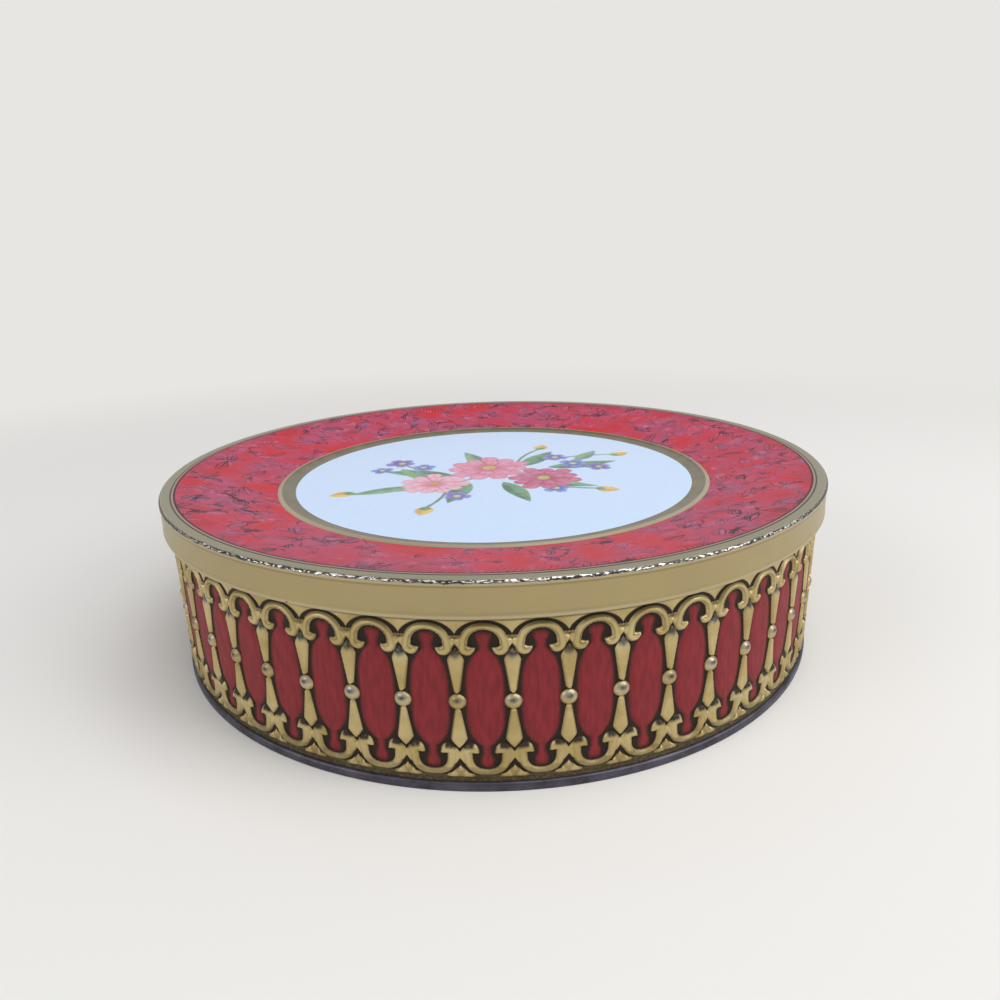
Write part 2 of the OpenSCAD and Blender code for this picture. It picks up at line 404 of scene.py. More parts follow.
def scroll_path(o, row):
    """Middle line, half-width and outward direction of one half of a scroll.

    A quarter of an ellipse, or of a fuller curve where its power is below one, runs from the crown to the
    side, and a smooth curve carries on through the heel and the belly to the pointed toe. The sense of the
    crown, up or down, gives the sense of the foot."""
    sense = math.copysign(1.0, row.crown_z - row.side_z)
    t = np.radians(np.linspace(90.0, 0.0, 90))
    half = row.crown_half + (row.side_half - row.crown_half) * np.cos(t)
    cos, sin = np.cos(t) ** row.fullness, np.sin(t) ** row.fullness
    bow = np.stack([o.scroll_half * cos, row.side_z + (row.crown_z - row.side_z) * sin, half], 1)
    foot_knots = np.array([
        (o.heel_x, row.side_z - sense * row.heel, row.heel_half),
        (o.belly_x, row.side_z - sense * row.belly, row.belly_half),
        (o.toe_x, row.side_z - sense * row.toe, o.toe_half)])
    past_toe = 2.0 * foot_knots[-1:] - foot_knots[-2:-1]
    knots = np.concatenate([bow[50:51], bow[-1:], foot_knots, past_toe])
    line = np.concatenate([bow[:-1], smooth_path(knots, 45)])
    run = np.gradient(line[:, :2], axis=0)
    out = sense * np.stack([-run[:, 1], run[:, 0]], 1)
    out /= np.linalg.norm(out, axis=1, keepdims=True)
    return line[:, :2], np.maximum(line[:, 2], 0.02), out


def into_band(x, z, path, half, out):
    """Depth of each point inside a band, and its place across it from -1, inside, to 1, outside.

    The band is the union of discs along its middle line. A point belongs to the disc it lies deepest in."""
    depth = half - np.hypot(x[..., None] - path[:, 0], z[..., None] - path[:, 1])
    best = depth.argmax(-1)
    offset = np.stack([x, z], -1) - path[best]
    across = (offset * out[best]).sum(-1) / half[best]
    return depth.max(-1), across


def into_spindle(u, z, row, shoulder_half):
    """Depth inside a spindle and its half-width there: a cone from neck to shoulder, then a round tip."""
    cone = np.clip((z - row.neck) / (row.shoulder - row.neck), 0.0, 1.0)
    tip = np.clip((z - row.shoulder) / (row.tip - row.shoulder), 0.0, 1.0)
    tip_power, neck_round = 1.45, 0.4
    half = (row.neck_half + (shoulder_half - row.neck_half) * cone) * (1.0 - tip ** tip_power)
    way = math.copysign(1.0, row.tip - row.neck)
    ends = np.minimum((z - row.neck) * way, (row.tip - z) * way)
    half = half * np.sqrt(np.clip((z - row.neck) * way / neck_round, 0.0, 1.0))
    return np.minimum(half - u, ends), np.maximum(half, 1e-3)


def emboss(panel, depth, height, start, full):
    """Adds a raised gold form: from the ground up to its height as the depth goes from start to full."""
    panel.relief = np.maximum(panel.relief, panel.low + height * smooth(depth, start, full))
    panel.gold = np.maximum(panel.gold, depth)


def darken(panel, share):
    """Adds darkening where there is less of it: antiquing in the grooves, and painted shade and painted
    reflection elsewhere.
    """
    panel.toner = np.maximum(panel.toner, share)


def red_panel(panel, o):
    """Printed panel: a flattened oval between two necks that flare at their ends, raised like a pillow.

    Near the seam the black ground round it fades into gold that is darkened by painted shade and by dirt, and
    elsewhere it is far from any gold."""
    z = panel.z
    t = np.where(z > o.panel_z, (z - o.panel_z) / o.panel_rise, (o.panel_z - z) / o.panel_fall)
    oval = o.panel_half * np.clip(1.0 - np.abs(t) ** 4, 0.0, 1.0) ** 0.8
    flare_up = smooth(z, o.panel_top - 2.2, o.panel_top - 0.6)
    flare_down = smooth(-z, -o.panel_bottom - 2.7, -o.panel_bottom - 1.2)
    neck = np.where(z > o.panel_z, o.neck_in, o.neck_low)
    half = np.maximum(oval, neck + o.neck_flare * np.maximum(flare_up, flare_down))
    ends = np.minimum(o.panel_top - z, z - o.panel_bottom)
    panel.red = -o.end_round * np.logaddexp((panel.x - half) / o.end_round, -ends / o.end_round)
    panel.relief = panel.low + o.pillow * smooth(panel.red, -0.2, 1.4)
    # Painted shade and dirt: the ground just above the base's fold turns to darkened gold
    seam_shade_and_dirt = smooth(-z, -3.1, -2.3)
    panel.gold = np.where(seam_shade_and_dirt > 0.0, 0.06 * seam_shade_and_dirt - 0.04, -9.0)
    panel.toner = 0.9 * seam_shade_and_dirt


def spandrels(panel, o):
    """Flat gold beyond an ellipse round each scroll, and an outline away from the scroll's band.

    The lower ones are small fans of three facets, a wedge on each side and a round one on top, with painted
    shade on the gold round them."""
    x, z, u = panel.x, panel.z, panel.u
    for row in panel.rows:
        sense = math.copysign(1.0, row.crown_z - row.side_z)
        rise = abs(row.crown_z - row.side_z) + row.crown_half + row.outline
        reach_x = panel.half_pitch / math.sqrt(1.0 - ((row.apex - row.side_z) / rise) ** 2)
        depth = (np.hypot(x / reach_x, (z - row.side_z) / rise) - 1.0) * rise
        band, _ = into_band(x, z, *scroll_path(o, row))
        depth = np.minimum(depth, np.minimum(sense * (z - row.apex) + 0.1, -band - row.outline))
        if sense < 0.0:
            depth = np.minimum(depth, np.minimum(o.fan_half - u, z - o.fan_z))
        emboss(panel, depth, -panel.low, -0.06, 0.22)
    wedge_u, wedge_low, wedge_top, round_z = 1.25, 2.5, 3.8, 4.05
    wedge = 0.8 - np.abs(u - wedge_u) - 0.5 * (z - 2.9)
    wedge = np.minimum(wedge, np.minimum(z - wedge_low, wedge_top - z))
    facets = np.maximum(0.45 - np.hypot(u, 0.7 * (z - round_z)), wedge)
    panel.relief += 0.3 * smooth(facets, -0.05, 0.35)
    # Painted shade: the lower spandrel's gold is darkened round the facets
    darken(panel, 0.45 * smooth(-facets, -0.05, 0.25) * window(z, 2.2, 2.5, 4.4, 5.0))


def scrolls(panel, o):
    """Scrolls: a flat band with a bevel on its outer side, and a groove that parts a lip from its inner side.

    Antiquing lies in the groove, and painted shade on the outer bevel."""
    for row in panel.rows:
        depth, across = into_band(panel.x, panel.z, *scroll_path(o, row))
        notch = np.exp(-((across + 0.5) / 0.14) ** 2)
        form = 1.0 - 0.5 * smooth(across, 0.3, 1.0) - 0.4 * smooth(-across, 0.7, 1.0)
        emboss(panel, depth, (o.relief - panel.low) * form - row.groove * notch, -0.1, 0.2)
        # Painted shade on the outer bevel, which faces away from the light; the groove's darkening is
        # antiquing
        bevel = 0.7 * smooth(across, 0.45, 0.95)
        darken(panel, 3.0 * row.groove * np.maximum(notch, bevel) * smooth(depth, 0.0, 0.1))


def knots(panel, o):
    """Knots between the scrolls, wider towards their bands: the lower ones with a painted dark reflection
    over their tops and the tops of the hooks beside them, and the upper ones under three beads."""
    z, u = panel.z, panel.u
    share = np.clip(u / (panel.half_pitch - o.scroll_half), 0.0, 1.0)
    for row in panel.rows:
        beaded = (z > row.knot_z) & (row.tip > row.neck)
        flare = np.where(beaded, share ** 1.2, np.minimum(1.9 * share, 1.0))
        depth = row.knot_half + o.knot_flare * flare - np.abs(z - row.knot_z)
        depth = np.where(panel.x > o.scroll_half, depth, -1.0)
        emboss(panel, depth, 0.72 * (o.relief - panel.low), -0.1, 0.4)
    # Painted dark reflection on the upward-facing tops of the lower hooks and knots
    darken(panel, 1.2 * smooth(z - 0.1 * u, 7.7, 8.5) * smooth(-z, -9.4, -9.2) * smooth(-u, -2.7, -2.1))
    bead_rise, bead_gap = 0.85, 0.55
    bead_z = z - panel.rows[0].knot_z - bead_rise
    bead = o.bead_r - np.hypot(np.minimum(u, np.abs(u - bead_gap)), bead_z)
    emboss(panel, bead, 0.4, 0.0, o.bead_r)
    darken(panel, 0.6 * smooth(bead, -0.1, 0.1))


def balusters(panel, o):
    """Balusters: two flat-faced spindles that lean back at their tips, the upper one darkened and greyed
    there as a painted reflection, and a domed stud with a rubbed cap and a painted dark reflection as a spot
    on it."""
    z, u = panel.z, panel.u
    for row in panel.rows:
        depth, half = into_spindle(u, z, row, o.spindle_half)
        panel.toner = np.where(depth > 0.0, 0.0, panel.toner)
        tip = np.clip((z - row.shoulder) / (row.tip - row.shoulder), 0.0, 1.0)
        form = (0.72 + 0.28 * np.clip(1.0 - (u / half) ** 2, 0.0, 1.0) ** 0.5) * (1.0 - 0.45 * tip)
        emboss(panel, depth, (o.relief - panel.low) * form, -0.08, 0.24)
        if row.tip > row.neck:
            # Painted reflection: the upper tip, which leans back, is darkened and greyed towards tin
            lean = smooth(z - 0.5 * u, row.shoulder, row.shoulder + 1.1) * (depth > -0.1)
            darken(panel, 0.95 * lean)
            panel.bare = np.maximum(panel.bare, lean)
    above = z - o.stud_z
    away = np.hypot(u / o.stud_w, above / o.stud_h)
    dome = np.sqrt(np.clip(1.0 - away ** 2, 0.0, 1.0))
    panel.relief = np.maximum(panel.relief, panel.low + (o.stud_relief - panel.low) * dome)
    panel.gold = np.maximum(panel.gold, (1.0 - away) * o.stud_h)
    panel.bare = np.maximum(panel.bare, smooth(1.0 - away, 0.0, 0.3) * smooth(above, -0.5, 0.3))
    # Painted reflection: a dark spot on the stud's upper part
    spot_w, spot_h, spot_rise = 0.8, 0.45, 0.5
    darken(panel, np.exp(-(u / spot_w) ** 2 - ((above - spot_rise) / spot_h) ** 2))


def ornament(x, z, o, pitch):
    """Relief, gold, red, darkening and bare tin of one panel at points x, from its middle, and z, a height.

    Relief is millimetres out of the sheet. Gold and red are signed distances into the printed gold and the
    red panel. The darkening is the share of antiquing, painted shade and painted dark reflection, and bare
    that
    of tin grey: rubbed lacquer on the studs, and a painted reflection on the upper spindles' tips. Every form
    is symmetric about the panel's middle, so |x| is used, and u is the distance from the baluster at its
    edge."""
    x = np.abs(x)
    panel = SimpleNamespace(x=x, z=z, u=pitch / 2.0 - x, half_pitch=pitch / 2.0, low=-o.ground,
                            bare=np.zeros(x.shape), rows=(row_of(o, "upper_"), row_of(o, "lower_")))
    for add_form in (red_panel, spandrels, scrolls, knots, balusters):
        add_form(panel, o)

    # A painted shadow line lies along the lid's edge, where the gap under the hem shades the wall, and under
    # the lid and at the seam the sheet is plain
    lid_shadow_line, embossed = (31.1, 31.25, 31.7, 32.1), (1.5, 2.3, 31.6, 32.4)
    darken(panel, 0.65 * window(z, *lid_shadow_line))
    panel.relief *= window(z, *embossed)
    return panel


def relief_slopes(relief, z, o, pitch):
    """Slopes of a relief that repeats round the wall, across and up, held at the steepest for shading."""
    across = (np.roll(relief, -1, 1) - np.roll(relief, 1, 1)) / (2.0 * pitch / o.columns)
    up = np.gradient(relief, z, axis=0)
    steep = np.maximum(np.hypot(across, up) / o.steepest, 1.0)
    return across / steep, up / steep


def wall_normals(slopes, tile, angle):
    """Unit normals of the wall at columns of the tile, which stand at angles: outwards, less the slopes."""
    across, up = slopes[0][:, tile], slopes[1][:, tile]
    cos, sin = np.cos(angle), np.sin(angle)
    normal = np.stack([cos + across * sin, sin - across * cos, -up], -1)
    return normal / np.linalg.norm(normal, axis=-1, keepdims=True)


# Materials

def add(tree, kind, inputs=None, out=0, **settings):
    """Adds a shader node and returns one of its outputs, or all of them where out is None.

    Inputs are its sockets, each a value or another node's output, and settings its own properties."""
    node = tree.nodes.new("ShaderNode" + kind)
    for key, value in settings.items():
        setattr(node, key, value)
    for key, value in (inputs or {}).items():
        socket = node.inputs[key]
        if isinstance(value, bpy.types.NodeSocket):
            tree.links.new(value, socket)
        else:
            socket.default_value = (*value, 1.0) if socket.type == "RGBA" else value
    return node.outputs if out is None else node.outputs[out]


def new_material(name):
    """An empty node material."""
    material = bpy.data.materials.new(name)
    material.use_nodes = True
    material.node_tree.nodes.clear()
    return material, material.node_tree


def finish(tree, height, strength, depth, look):
    """Ends a material: a bump from a height, of a depth in millimetres, on a surface of the given look."""
    bump = add(tree, "Bump", {"Height": height, "Strength": strength, "Distance": depth * MM})
    shader = add(tree, "BsdfPrincipled", {**look, "Normal": bump})
    add(tree, "OutputMaterial", {"Surface": shader}, out=None)


def clouded(tree, cloud, low, high, first, last):
    """A colour that goes from the first to the last as a cloud goes from low to high."""
    tone = add(tree, "MapRange", {"Value": cloud, "From Min": low, "From Max": high})
    return add(tree, "Mix", {FACTOR: tone, COLOUR_A: first, COLOUR_B: last}, **MIX)


def polar(tree):
    """Object coordinates, the three of them, the two level ones, and the distance from the tin's axis."""
    where = add(tree, "TexCoord", out="Object")
    xyz = add(tree, "SeparateXYZ", {0: where}, out=None)
    flat = add(tree, "CombineXYZ", {0: xyz[0], 1: xyz[1]})
    return where, xyz, flat, add(tree, "VectorMath", {0: flat}, operation="LENGTH", out="Value")


def printed_wall(colours):
    """Lithographed tinplate, embossed: satin gold lacquer on the relief, dull black and crimson inks between,
    dark antiquing rubbed into the grooves, painted shade and painted dark and grey reflections on parts of
    the relief, all under a thin varnish that softens the highlights."""
    material, tree = new_material("lithographed_tinplate")
    where = add(tree, "TexCoord", out="Object")
    flat = add(tree, "UVMap", uv_map="unrolled", out="UV")
    gold, red, toner, bare = (add(tree, "Attribute", attribute_name=name, out="Fac") for name in WALL_PRINT)
    # Ink grain of about 0.5 mm, lacquer clouds of about 6 mm
    grain = add(tree, "TexNoise", {"Vector": where, "Scale": PER_MM / 0.5, "Detail": 3.0})
    cloud = add(tree, "TexNoise", {"Vector": where, "Scale": PER_MM / 6.0, "Detail": 4.0})
    # Streaks in the red lean as they run up the panel, about 0.8 mm wide and 3.6 mm long
    long = add(tree, "Mapping", {"Vector": flat, "Rotation": (0.0, 0.0, 0.45), "Scale": (1.3, 0.28, 1.0)})
    streak = add(tree, "TexNoise", {"Vector": long, "Scale": 1.0, "Detail": 4.0})
    ragged = add(tree, "Math", {0: grain, 1: 0.5, 2: red}, operation="MULTIPLY_ADD")
    in_red = add(tree, "MapRange", {"Value": ragged, "From Min": 0.0, "From Max": 0.65})
    in_gold = add(tree, "MapRange", {"Value": gold, "From Min": -0.04, "From Max": 0.06})
    crimson = clouded(tree, streak, 0.3, 0.7, colours.panel_deep, colours.panel_red)
    ink = add(tree, "Mix", {FACTOR: in_red, COLOUR_A: colours.print_black, COLOUR_B: crimson}, **MIX)
    lacquer = clouded(tree, cloud, 0.35, 0.65, colours.gold_deep, colours.gold)
    # Studs are rubbed through to the tin, some more than others, and the upper spindles' tips are greyed
    # towards tin as a painted reflection
    through = add(tree, "MapRange", {"Value": cloud, "From Min": 0.4, "From Max": 0.58, "To Min": 0.2,
                                     "To Max": 0.85})
    bared = add(tree, "Math", {0: bare, 1: through}, operation="MULTIPLY")
    lacquer = add(tree, "Mix", {FACTOR: bared, COLOUR_A: lacquer, COLOUR_B: colours.tin}, **MIX)
    patchy = add(tree, "MapRange", {"Value": grain, "From Min": 0.2, "From Max": 0.6, "To Min": 0.6,
                                    "To Max": 1.0})
    # Darkening: antiquing in the grooves, and painted shade and painted dark reflection elsewhere on the
    # relief
    rubbed = add(tree, "Math", {0: toner, 1: patchy}, operation="MULTIPLY")
    toned = add(tree, "Mix", {FACTOR: rubbed, COLOUR_A: lacquer, COLOUR_B: colours.antique}, **MIX)
    colour = add(tree, "Mix", {FACTOR: in_gold, COLOUR_A: ink, COLOUR_B: toned}, **MIX)
    clean = add(tree, "Math", {0: 1.0, 1: rubbed}, operation="SUBTRACT")
    shine = add(tree, "Math", {0: in_gold, 1: clean}, operation="MULTIPLY")
    metal = add(tree, "MapRange", {"Value": shine, "To Min": 0.0, "To Max": 0.75})
    dull = add(tree, "MapRange", {"Value": shine, "To Min": 0.52, "To Max": 0.38})
    grained = add(tree, "Math", {0: grain, 1: 0.12, 2: dull}, operation="MULTIPLY_ADD")
    rough = add(tree, "Math", {0: bared, 1: -0.22, 2: grained}, operation="MULTIPLY_ADD")
    finish(tree, grain, 0.12, 0.06, {"Base Color": colour, "Metallic": metal, "Roughness": rough,
                                     "Specular IOR Level": 0.22, "Coat Weight": 0.04,
                                     "Coat Roughness": 0.25})
    return material


def gold_lacquer(colours, sizes):
    """Gold-lacquered tinplate, drawn: an even satin gold with faint clouds and a few dark pinholes. The outer
    top edge is rubbed through to dark oxide and then to bright tin. The flat rim is painted a duller grey
    gold as the sky's reflection in it, and pale bands at the hem and under the corner are painted highlights,
    with a painted shade line beside the upper one."""
    material, tree = new_material("gold_lacquered_tinplate")
    where, xyz, _, radius = polar(tree)
    cloud = add(tree, "TexNoise", {"Vector": where, "Scale": PER_MM / 14.0, "Detail": 5.0})
    grain = add(tree, "TexNoise", {"Vector": where, "Scale": PER_MM / 0.45, "Detail": 3.0})
    # Chips and flecks along the edge, about 1.6 mm long and 0.5 mm high
    share = add(tree, "SeparateXYZ", {0: add(tree, "UVMap", uv_map="turned")})
    along = add(tree, "Math", {0: share, 1: TURN * sizes.lid_out / 1.6}, operation="MULTIPLY")
    high = add(tree, "Math", {0: xyz[2], 1: PER_MM / 0.5}, operation="MULTIPLY")
    edge = add(tree, "CombineXYZ", {0: along, 1: high})
    chips = add(tree, "TexNoise", {"Vector": edge, "Scale": 1.0, "Detail": 5.0, "Roughness": 0.6})
    flecks = add(tree, "TexNoise", {"Vector": edge, "Scale": 1.7, "Detail": 2.0})
    lacquer = clouded(tree, cloud, 0.25, 0.75, colours.skirt_deep, colours.skirt)
    # Painted highlights: the hem and the bevel under the corner are painted paler, and a painted shade line
    # lies beside the bevel
    hem = add(tree, "MapRange", {"Value": xyz[2], "From Min": (sizes.lid_low + 0.75) * MM,
                                 "From Max": (sizes.lid_low + 0.6) * MM, "To Max": 0.4})
    bevel = add(tree, "MapRange", {"Value": xyz[2], "From Min": (sizes.lid_top - 0.98) * MM,
                                   "From Max": (sizes.lid_top - 0.82) * MM, "To Max": 0.4})
    painted_highlight = add(tree, "Math", {0: hem, 1: bevel}, operation="MAXIMUM")
    lacquer = add(tree, "Mix", {FACTOR: painted_highlight, COLOUR_A: lacquer, COLOUR_B: colours.cream}, **MIX)
    below = add(tree, "Math", {0: xyz[2], 1: (sizes.lid_top - 1.12) * MM}, operation="SUBTRACT")
    beside = add(tree, "Math", {0: below}, operation="ABSOLUTE")
    shade = add(tree, "MapRange", {"Value": beside, "From Min": 0.28 * MM, "From Max": 0.08 * MM,
                                   "To Max": 0.28})
    lacquer = add(tree, "Mix", {FACTOR: shade, COLOUR_A: lacquer, COLOUR_B: colours.antique}, **MIX)
    # The flat rim starts where the skirt's corner ends, painted a duller grey gold as the sky's reflection in
    # it, and a pale line between two dark ones edges it
    inner = add(tree, "MapRange", {"Value": radius, "From Min": (sizes.lid_out - 0.3) * MM,
                                   "From Max": (sizes.lid_out - 0.7) * MM})
    edged = add(tree, "Mix", {FACTOR: inner, COLOUR_A: lacquer, COLOUR_B: colours.rim}, **MIX)
    for edge_at, ink in ((1.05, colours.rust), (0.72, colours.fine_line), (0.24, colours.rust)):
        within = add(tree, "MapRange", {"Value": radius, "From Min": (sizes.rim_in + edge_at) * MM,
                                        "From Max": (sizes.rim_in + edge_at - 0.08) * MM})
        edged = add(tree, "Mix", {FACTOR: within, COLOUR_A: edged, COLOUR_B: ink}, **MIX)
    # Pinholes of about 0.25 mm, in cells of 5 mm, in a third of the cells
    cell = add(tree, "TexVoronoi", {"Vector": where, "Scale": PER_MM / 5.0}, out=None)
    spot = add(tree, "MapRange", {"Value": cell["Distance"], "From Min": 0.055, "From Max": 0.03})
    chance = add(tree, "SeparateColor", {0: cell["Color"]})
    some = add(tree, "Math", {0: chance, 1: 0.66}, operation="GREATER_THAN")
    pinhole = add(tree, "Math", {0: spot, 1: some}, operation="MULTIPLY")
    # Wear lies within a short distance of the ridge, frayed along it, and bright flecks are longer than high
    out = add(tree, "Math", {0: radius, 1: (sizes.lid_out - 0.22) * MM}, operation="SUBTRACT")
    up = add(tree, "Math", {0: xyz[2], 1: (sizes.lid_top - 0.28) * MM}, operation="SUBTRACT")
    both = add(tree, "CombineXYZ", {0: out, 1: up})
    away = add(tree, "VectorMath", {0: both}, operation="LENGTH", out="Value")
    fray = add(tree, "Math", {0: chips, 1: -0.9 * MM, 2: away}, operation="MULTIPLY_ADD")
    wear = add(tree, "MapRange", {"Value": fray, "From Min": -0.12 * MM, "From Max": -0.2 * MM})
    deep = add(tree, "MapRange", {"Value": fray, "From Min": -0.24 * MM, "From Max": -0.3 * MM})
    rubbed = add(tree, "Math", {0: cloud, 1: 0.5, 2: flecks}, operation="MULTIPLY_ADD")
    fleck = add(tree, "MapRange", {"Value": rubbed, "From Min": 0.73, "From Max": 0.8})
    # Bright flecks fade out towards the left and right sides
    sideways = add(tree, "Math", {0: xyz[0]}, operation="ABSOLUTE")
    flecks_toward_middle = add(tree, "MapRange", {"Value": sideways, "From Min": 64.0 * MM, "From Max": 50.0 * MM})
    fleck = add(tree, "Math", {0: fleck, 1: flecks_toward_middle}, operation="MULTIPLY")
    bright = add(tree, "Math", {0: deep, 1: fleck}, operation="MULTIPLY")
    bare = add(tree, "Math", {0: wear, 1: pinhole}, operation="MAXIMUM")
    # The upper side of the wear is grey, and the lower side dark with oxide
    lower = add(tree, "Math", {0: chips, 1: 0.5 * MM, 2: xyz[2]}, operation="MULTIPLY_ADD")
    stained = add(tree, "MapRange", {"Value": lower, "From Min": (sizes.lid_top + 0.28) * MM,
                                     "From Max": (sizes.lid_top + 0.06) * MM})
    oxide = add(tree, "Mix", {FACTOR: stained, COLOUR_A: colours.worn, COLOUR_B: colours.rust}, **MIX)
    dark = add(tree, "Mix", {FACTOR: bare, COLOUR_A: edged, COLOUR_B: oxide}, **MIX)
    colour = add(tree, "Mix", {FACTOR: bright, COLOUR_A: dark, COLOUR_B: colours.fleck}, **MIX)
    lost = add(tree, "Math", {0: bare, 1: bright}, operation="SUBTRACT", use_clamp=True)
    metal = add(tree, "MapRange", {"Value": lost, "To Min": 0.8, "To Max": 0.2})
    rough = add(tree, "Math", {0: grain, 1: 0.12, 2: 0.34}, operation="MULTIPLY_ADD")
    pit = add(tree, "Math", {0: bare, 1: -1.0, 2: grain}, operation="MULTIPLY_ADD")
    finish(tree, pit, 0.2, 0.08, {"Base Color": colour, "Metallic": metal, "Roughness": rough,
                                  "Coat Weight": 0.12, "Coat Roughness": 0.2})
    return material


def gilt_ring(colours, sizes):
    """Gilt printed ring on a pressed bead: an olive gold band with a painted highlight as a pale line along
    the bead, smooth and varnished, with faint clouds."""
    material, tree = new_material("gilt_tinplate")
    where, _, _, radius = polar(tree)
    cloud = add(tree, "TexNoise", {"Vector": where, "Scale": PER_MM / 5.0, "Detail": 4.0})
    grain = add(tree, "TexNoise", {"Vector": where, "Scale": PER_MM / 0.5, "Detail": 2.0})
    band = clouded(tree, cloud, 0.3, 0.7, colours.ring_deep, colours.ring)
    # Painted highlight: a pale line along the bead
    line = add(tree, "MapRange", {"Value": radius, "From Min": (sizes.ring_out - 1.1) * MM,
                                  "From Max": (sizes.ring_out - 0.7) * MM, "To Max": 0.65})
    colour = add(tree, "Mix", {FACTOR: line, COLOUR_A: band, COLOUR_B: colours.cream}, **MIX)
    rough = add(tree, "Math", {0: grain, 1: 0.15, 2: 0.32}, operation="MULTIPLY_ADD")
    finish(tree, grain, 0.1, 0.05, {"Base Color": colour, "Metallic": 0.65, "Roughness": rough,
                                    "Coat Weight": 0.25, "Coat Roughness": 0.15})
    return material


def printed_leaves(tree, flat, cell, size, half, seed):
    """Cover and ink of scattered leaves: one leaf in each cell of a random net, turned by the cell's chance.

    A leaf is where its half-width, a parabola along its bowed rib, is more than the distance from the rib.
    Ink is its outline, its rib and slanted hatching on one half. Lengths are in millimetres."""
    moved = add(tree, "VectorMath", {0: flat, 1: (seed, 0.7 * seed, 0.0)}, operation="ADD")
    net = add(tree, "TexVoronoi", {"Vector": moved, "Scale": PER_MM / cell, "Randomness": 0.45},
              voronoi_dimensions="2D", out=None)
    chance = add(tree, "SeparateColor", {0: net["Color"]})
    turn = add(tree, "Math", {0: chance, 1: TURN}, operation="MULTIPLY")
    local = add(tree, "VectorMath", {0: moved, 1: net["Position"]}, operation="SUBTRACT")
    turned = add(tree, "VectorRotate", {"Vector": local, "Angle": turn}, rotation_type="Z_AXIS")
    axes = add(tree, "SeparateXYZ", {0: turned}, out=None)
    share = add(tree, "Math", {0: axes[0], 1: PER_MM / size}, operation="MULTIPLY")
    square = add(tree, "Math", {0: share, 1: share}, operation="MULTIPLY")
    side = add(tree, "Math", {0: axes[1], 1: PER_MM}, operation="MULTIPLY")
    across = add(tree, "Math", {0: square, 1: 0.5 * half, 2: side}, operation="MULTIPLY_ADD")
    gap = add(tree, "Math", {0: across}, operation="ABSOLUTE")
    width = add(tree, "Math", {0: square, 1: -half, 2: half}, operation="MULTIPLY_ADD")
    depth = add(tree, "Math", {0: width, 1: gap}, operation="SUBTRACT")
    cover = add(tree, "MapRange", {"Value": depth, "From Min": -0.05, "From Max": 0.1})
    rim = add(tree, "Math", {0: depth}, operation="ABSOLUTE")
    line = add(tree, "Math", {0: rim, 1: gap}, operation="MINIMUM")
    drawn = add(tree, "MapRange", {"Value": line, "From Min": 0.2, "From Max": 0.1})
    slant = add(tree, "Math", {0: share, 1: size, 2: across}, operation="MULTIPLY_ADD")
    wave = add(tree, "Math", {0: slant, 1: TURN / 0.75}, operation="MULTIPLY")
    stroke = add(tree, "Math", {0: wave}, operation="SINE")
    hatch = add(tree, "MapRange", {"Value": stroke, "From Min": 0.3, "From Max": 0.8})
    one = add(tree, "MapRange", {"Value": across, "From Min": -0.05, "From Max": 0.05})
    shade = add(tree, "Math", {0: hatch, 1: one}, operation="MULTIPLY")
    both = add(tree, "Math", {0: drawn, 1: shade}, operation="MAXIMUM")
    grown = add(tree, "MapRange", {"Value": depth, "From Min": -0.2, "From Max": -0.1})
    ink = add(tree, "Math", {0: both, 1: grown}, operation="MULTIPLY")
    return cover, ink


